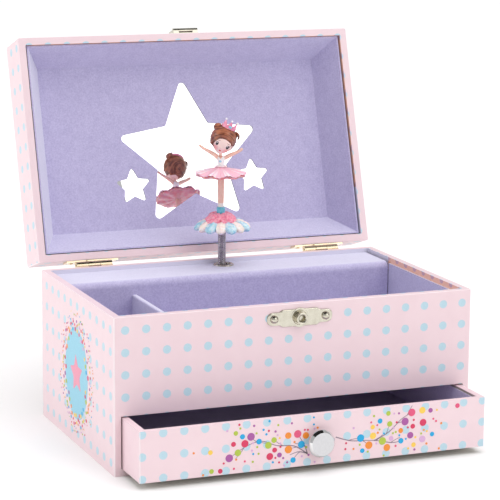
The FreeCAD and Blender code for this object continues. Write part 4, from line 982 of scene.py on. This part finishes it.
def torso():
    """White bodice with a waist frill and a blue gem, and the two raised arms."""
    rings = []
    for height, wide, deep in ((114.6, 1.7, 1.5), (115.6, 1.75, 1.5), (116.6, 1.45, 1.3), (117.6, 1.5, 1.35),
                               (118.8, 1.85, 1.6), (119.6, 2.0, 1.6), (120.3, 1.8, 1.35), (120.8, 1.1, 0.95)):
        rings.append(circle(40, wide, height, deep / wide))
    frill = []
    for radius, height, wave in ((1.4, 116.3, 0), (2.3, 116.25, 0.12), (2.75, 115.9, 0.2), (2.7, 115.7, 0.2),
                                 (1.4, 115.8, 0)):
        frill.append(wavy(110, lambda angle: radius + wave * sin(11 * angle),
                          lambda angle: height + wave * 0.5 * sin(11 * angle)))
    points, faces, owners = merge([loft(rings), loft(frill)])
    materials = [bodice_paint(), plastic("frill_pale_pink", rgb(250, 206, 218), rgb(255, 236, 240), 0.8)]
    dancer_piece("bodice", (points, faces), materials, "bodice_plastic", ("dancer_torso",), owners)
    gem = blob((-0.3, -1.45, 118.5), (0.58, 0.3, 0.58), None, 10, 18)
    dancer_piece("bodice_gem", gem, [GEM], "bodice_plastic")
    left = ((-1.2, 0.1, 119.7, 0.95), (-2.4, 0.0, 120.9, 1.02), (-5.0, -0.2, 122.6, 0.86),
            (-8.0, -0.4, 124.3, 0.66), (-9.8, -0.5, 125.6, 0.58), (-10.5, -0.5, 126.2, 0.3))
    right = ((1.2, 0.1, 119.5, 0.9), (2.6, 0.0, 120.3, 0.98), (5.0, -0.2, 121.6, 0.9),
             (7.8, -0.4, 122.9, 0.72), (9.5, -0.5, 124.0, 0.72), (10.3, -0.5, 124.4, 0.4))
    arms = []
    for arm in (left, right):
        path = smooth_profile(arm, 5)
        arms.append(swept([point[:3] for point in path], [point[3] for point in path], 16, 0.85))
    dancer_piece("arms_raised", merge(arms), [SKIN], "bodice_plastic")


def hairline(u, front):
    """Height of the hair's lower edge at u across the head."""
    if not front:
        return -5.7
    return max(-4.4, 1.95 - 0.1 * (u - 0.2) ** 2 - 1.3 * max(0.0, abs(u - 0.5) - 3.3) ** 2)


def face_paint():
    """Doll's face: dark oval eyes with lashes and a painted white highlight, small red mouth and blushed
    cheeks.
    """
    paint = moulded("skin_face", 0.3, coat_rough=0.12)
    x, y, z = paint.split(paint.place)
    front = paint.math("LESS_THAN", y, -0.5 * MM)

    def oval(u, w, half_u, half_w, lean=0.0, soft=0.12):
        """Mask that is 1 inside a leaning oval on the face."""
        du = paint.minus(x, u * MM)
        dw = paint.minus(z, w * MM)
        reach = []
        for half, turn in ((half_u * MM, lean), (half_w * MM, lean + pi / 2)):
            reach.append(paint.add(paint.times(du, cos(turn) / half), paint.times(dw, sin(turn) / half)))
        return paint.times(paint.ramp(paint.length(*reach), 1.0 - soft, 1.0 + soft, 1.0, 0.0), front)

    colour = paint.mix(paint.noise(2.5, 3.0), rgb(250, 214, 208), rgb(252, 224, 218))
    middle = 0.58
    for side in (-1, 1):
        blush = paint.times(oval(middle + side * 3.0, -4.55, 1.5, 1.2, 0.0, 0.6), 0.6)
        colour = paint.mix(blush, colour, rgb(240, 130, 130))
    for side in (-1, 1):
        eye = middle + side * 2.65
        for step in range(3):
            lash = (eye + side * (0.75 + 0.12 * step), -1.95 + 0.42 * step)
            lash_mask = oval(*lash, 0.5, 0.1, side * (0.2 + 0.35 * step), 0.25)
            colour = paint.mix(lash_mask, colour, rgb(38, 30, 34))
        colour = paint.mix(oval(eye, -2.27, 0.66, 0.98), colour, rgb(34, 30, 38))
        # painted highlight: a small white glint in each eye
        colour = paint.mix(oval(eye - 0.18, -1.85, 0.2, 0.26), colour, rgb(250, 250, 252))
        brow = oval(middle + side * 2.5, -0.6, 0.9, 0.1, -side * 0.2, 0.3)
        colour = paint.mix(brow, colour, rgb(150, 96, 78))
    for side in (-1, 1):
        lip = oval(middle + side * 0.24, -4.98, 0.34, 0.24, side * 0.4)
        colour = paint.mix(lip, colour, rgb(206, 52, 58))
    paint.colour(paint.mix(oval(middle, -5.2, 0.4, 0.24), colour, rgb(214, 64, 68)))
    paint.bump(paint.noise(0.6, 3.0), 0.02, 0.3)
    return paint.material


def hair_paint():
    """Auburn paint with darker and lighter strands running round the face."""
    paint = Paint("hair_auburn", Roughness=0.3, Coat_Weight=0.35, Coat_Roughness=0.2)
    x, y, z = paint.split(paint.place)
    reach = paint.length(paint.minus(x, PART.x * MM), paint.minus(z, PART.z * MM))
    strands = paint.noise(0.5, 2.0, paint.join(reach, paint.times(x, 0.06), paint.times(y, 0.06)))
    share = paint.math("MULTIPLY_ADD", paint.noise(2.6, 1.0), 0.45, paint.times(strands, 0.55))
    paint.colour(paint.mix(paint.ramp(share, 0.36, 0.66), rgb(98, 46, 30), rgb(178, 108, 78)))
    paint.bump(strands, 0.08, 0.6)
    return paint.material


HAIR = hair_paint()


def head():
    """Head and neck with a painted face, and the moulded hair with two side buns."""
    def features(out):
        """Relief of the face: a small nose, and cheeks drawn in towards the chin."""
        spot = Vector((out.x * FACE_RADII[0], out.y * FACE_RADII[1], out.z * FACE_RADII[2])) + FACE_CENTRE
        gap = (spot - Vector((0.58, -5.5, -3.6))).length
        jaw = 0.85 * ease(-out.z, 0.15, 0.8) * abs(out.x)
        return 0.3 * exp(-(gap / 0.5) ** 2) - jaw

    skull = blob(FACE_CENTRE, FACE_RADII, None, 60, 84, features)
    dancer_piece("head_face", skull, [face_paint()], "skin_plastic", ("dancer_head",), place=HEAD_PLACE)
    neck = swept([(-0.2, 0.1, 119.9), (-0.25, 0.1, 121.0), (-0.3, 0.1, 122.0), (-0.3, 0.1, 123.4)],
                 [0.95, 0.72, 0.66, 0.8], 20)
    dancer_piece("neck", neck, [SKIN], "skin_plastic")

    def wound(out):
        return 0.14 * sin(atan2(out.z, out.x) * 2 + out.y * 7.0)

    lean = Matrix.Rotation(radians(-35), 3, "Y")
    left_bun = blob((-4.75, 0.9, 4.2), (1.95, 2.0, 1.75), lean, 24, 30, wound)
    right_bun = blob((4.4, 1.9, 3.9), (1.5, 1.8, 1.5), None, 20, 26, wound)
    curl = swept([(4.4, 0.4, 5.1), (5.3, 0.2, 5.0), (6.1, 0.0, 4.4), (6.5, -0.1, 3.3), (6.35, -0.2, 2.3)],
                 [0.5, 0.5, 0.48, 0.42, 0.14], 14)
    hair = merge([hair_cap(), left_bun, right_bun, curl])
    dancer_piece("hair_moulded", hair, [HAIR], "hair_plastic", ("dancer_hair",), place=HEAD_PLACE)


def hair_cap():
    """Skin of the hair with combed strands, tucked under the face below the hairline."""
    rings = 120
    rows = []
    for ring in range(1, rings):
        polar = pi * ring / rings

        def surface(angle):
            out = Vector((sin(polar) * cos(angle), sin(polar) * sin(angle), cos(polar)))
            full = Vector(value * radius for value, radius in zip(out, HAIR_RADII)) + HAIR_CENTRE
            under = Vector(value * (radius - 0.5) for value, radius in zip(out, FACE_RADII)) + FACE_CENTRE
            front = full.y < 1.5
            edge = hairline(full.x, front)
            bare = ease(edge - full.z, -0.12, 0.42)
            reach = (full - PART).length
            strand = 0.07 * sin(reach * 6.5 + 0.5 * sin(angle * 3)) + 0.03 * sin(reach * 14.0)
            roll = 0.3 * exp(-((full.z - edge - 0.55) / 0.5) ** 2) if front else 0.0
            full += out * (strand + roll) * (1 - bare)
            return tuple(full.lerp(under, bare))

        rows.append(around(168, surface))
    return loft(rows)


def crown():
    """Small crown with three balled points in front, a blue gem and a low band behind."""
    peaks = [radians(-90 + angle) for angle in (-42, 4, 50)]

    def rise(angle):
        """Height of the rim above the base at an angle round the crown."""
        front = ease(cos(angle + pi / 2), 0.25, 0.75)
        near = min(abs(remainder(angle - peak, tau)) for peak in peaks)
        return 0.9 + front * (0.9 + 2.2 * max(0.0, 1 - near / radians(19)) ** 1.15)

    rings = []
    for radius, share in ((3.1, 0), (3.5, 0), (3.5, 1), (3.2, 1)):
        def edge(angle):
            height = share * rise(angle)
            out = radius + 0.14 * height
            return (out * cos(angle), out * 0.95 * sin(angle), 5.75 + height)

        rings.append(around(180, edge))
    dancer_piece("crown_points", hollow(rings), [CROWN], "crown_plastic", ("dancer_crown",), place=HEAD_PLACE,
                 sharp=45)
    balls = []
    for peak in peaks:
        balls.append(blob((3.95 * cos(peak), 3.8 * sin(peak), 9.8), (0.52, 0.52, 0.52), None, 10, 16))
    dancer_piece("crown_pearls", merge(balls), [PEARL], "crown_plastic", place=HEAD_PLACE)
    gem = blob((0.58, -3.6, 6.95), (0.9, 0.32, 0.6), None, 10, 18)
    dancer_piece("crown_gem", gem, [GEM], "crown_plastic", place=HEAD_PLACE)


# ---- the scene
set_camera()
set_stage()
finish_cad()
medallion("medallion_left", -1)
medallion("medallion_right", 1)
drawer_print()
latch()
knob()
eyelet()
stem_spring()
stand()
legs()
tutu()
torso()
head()
crown()
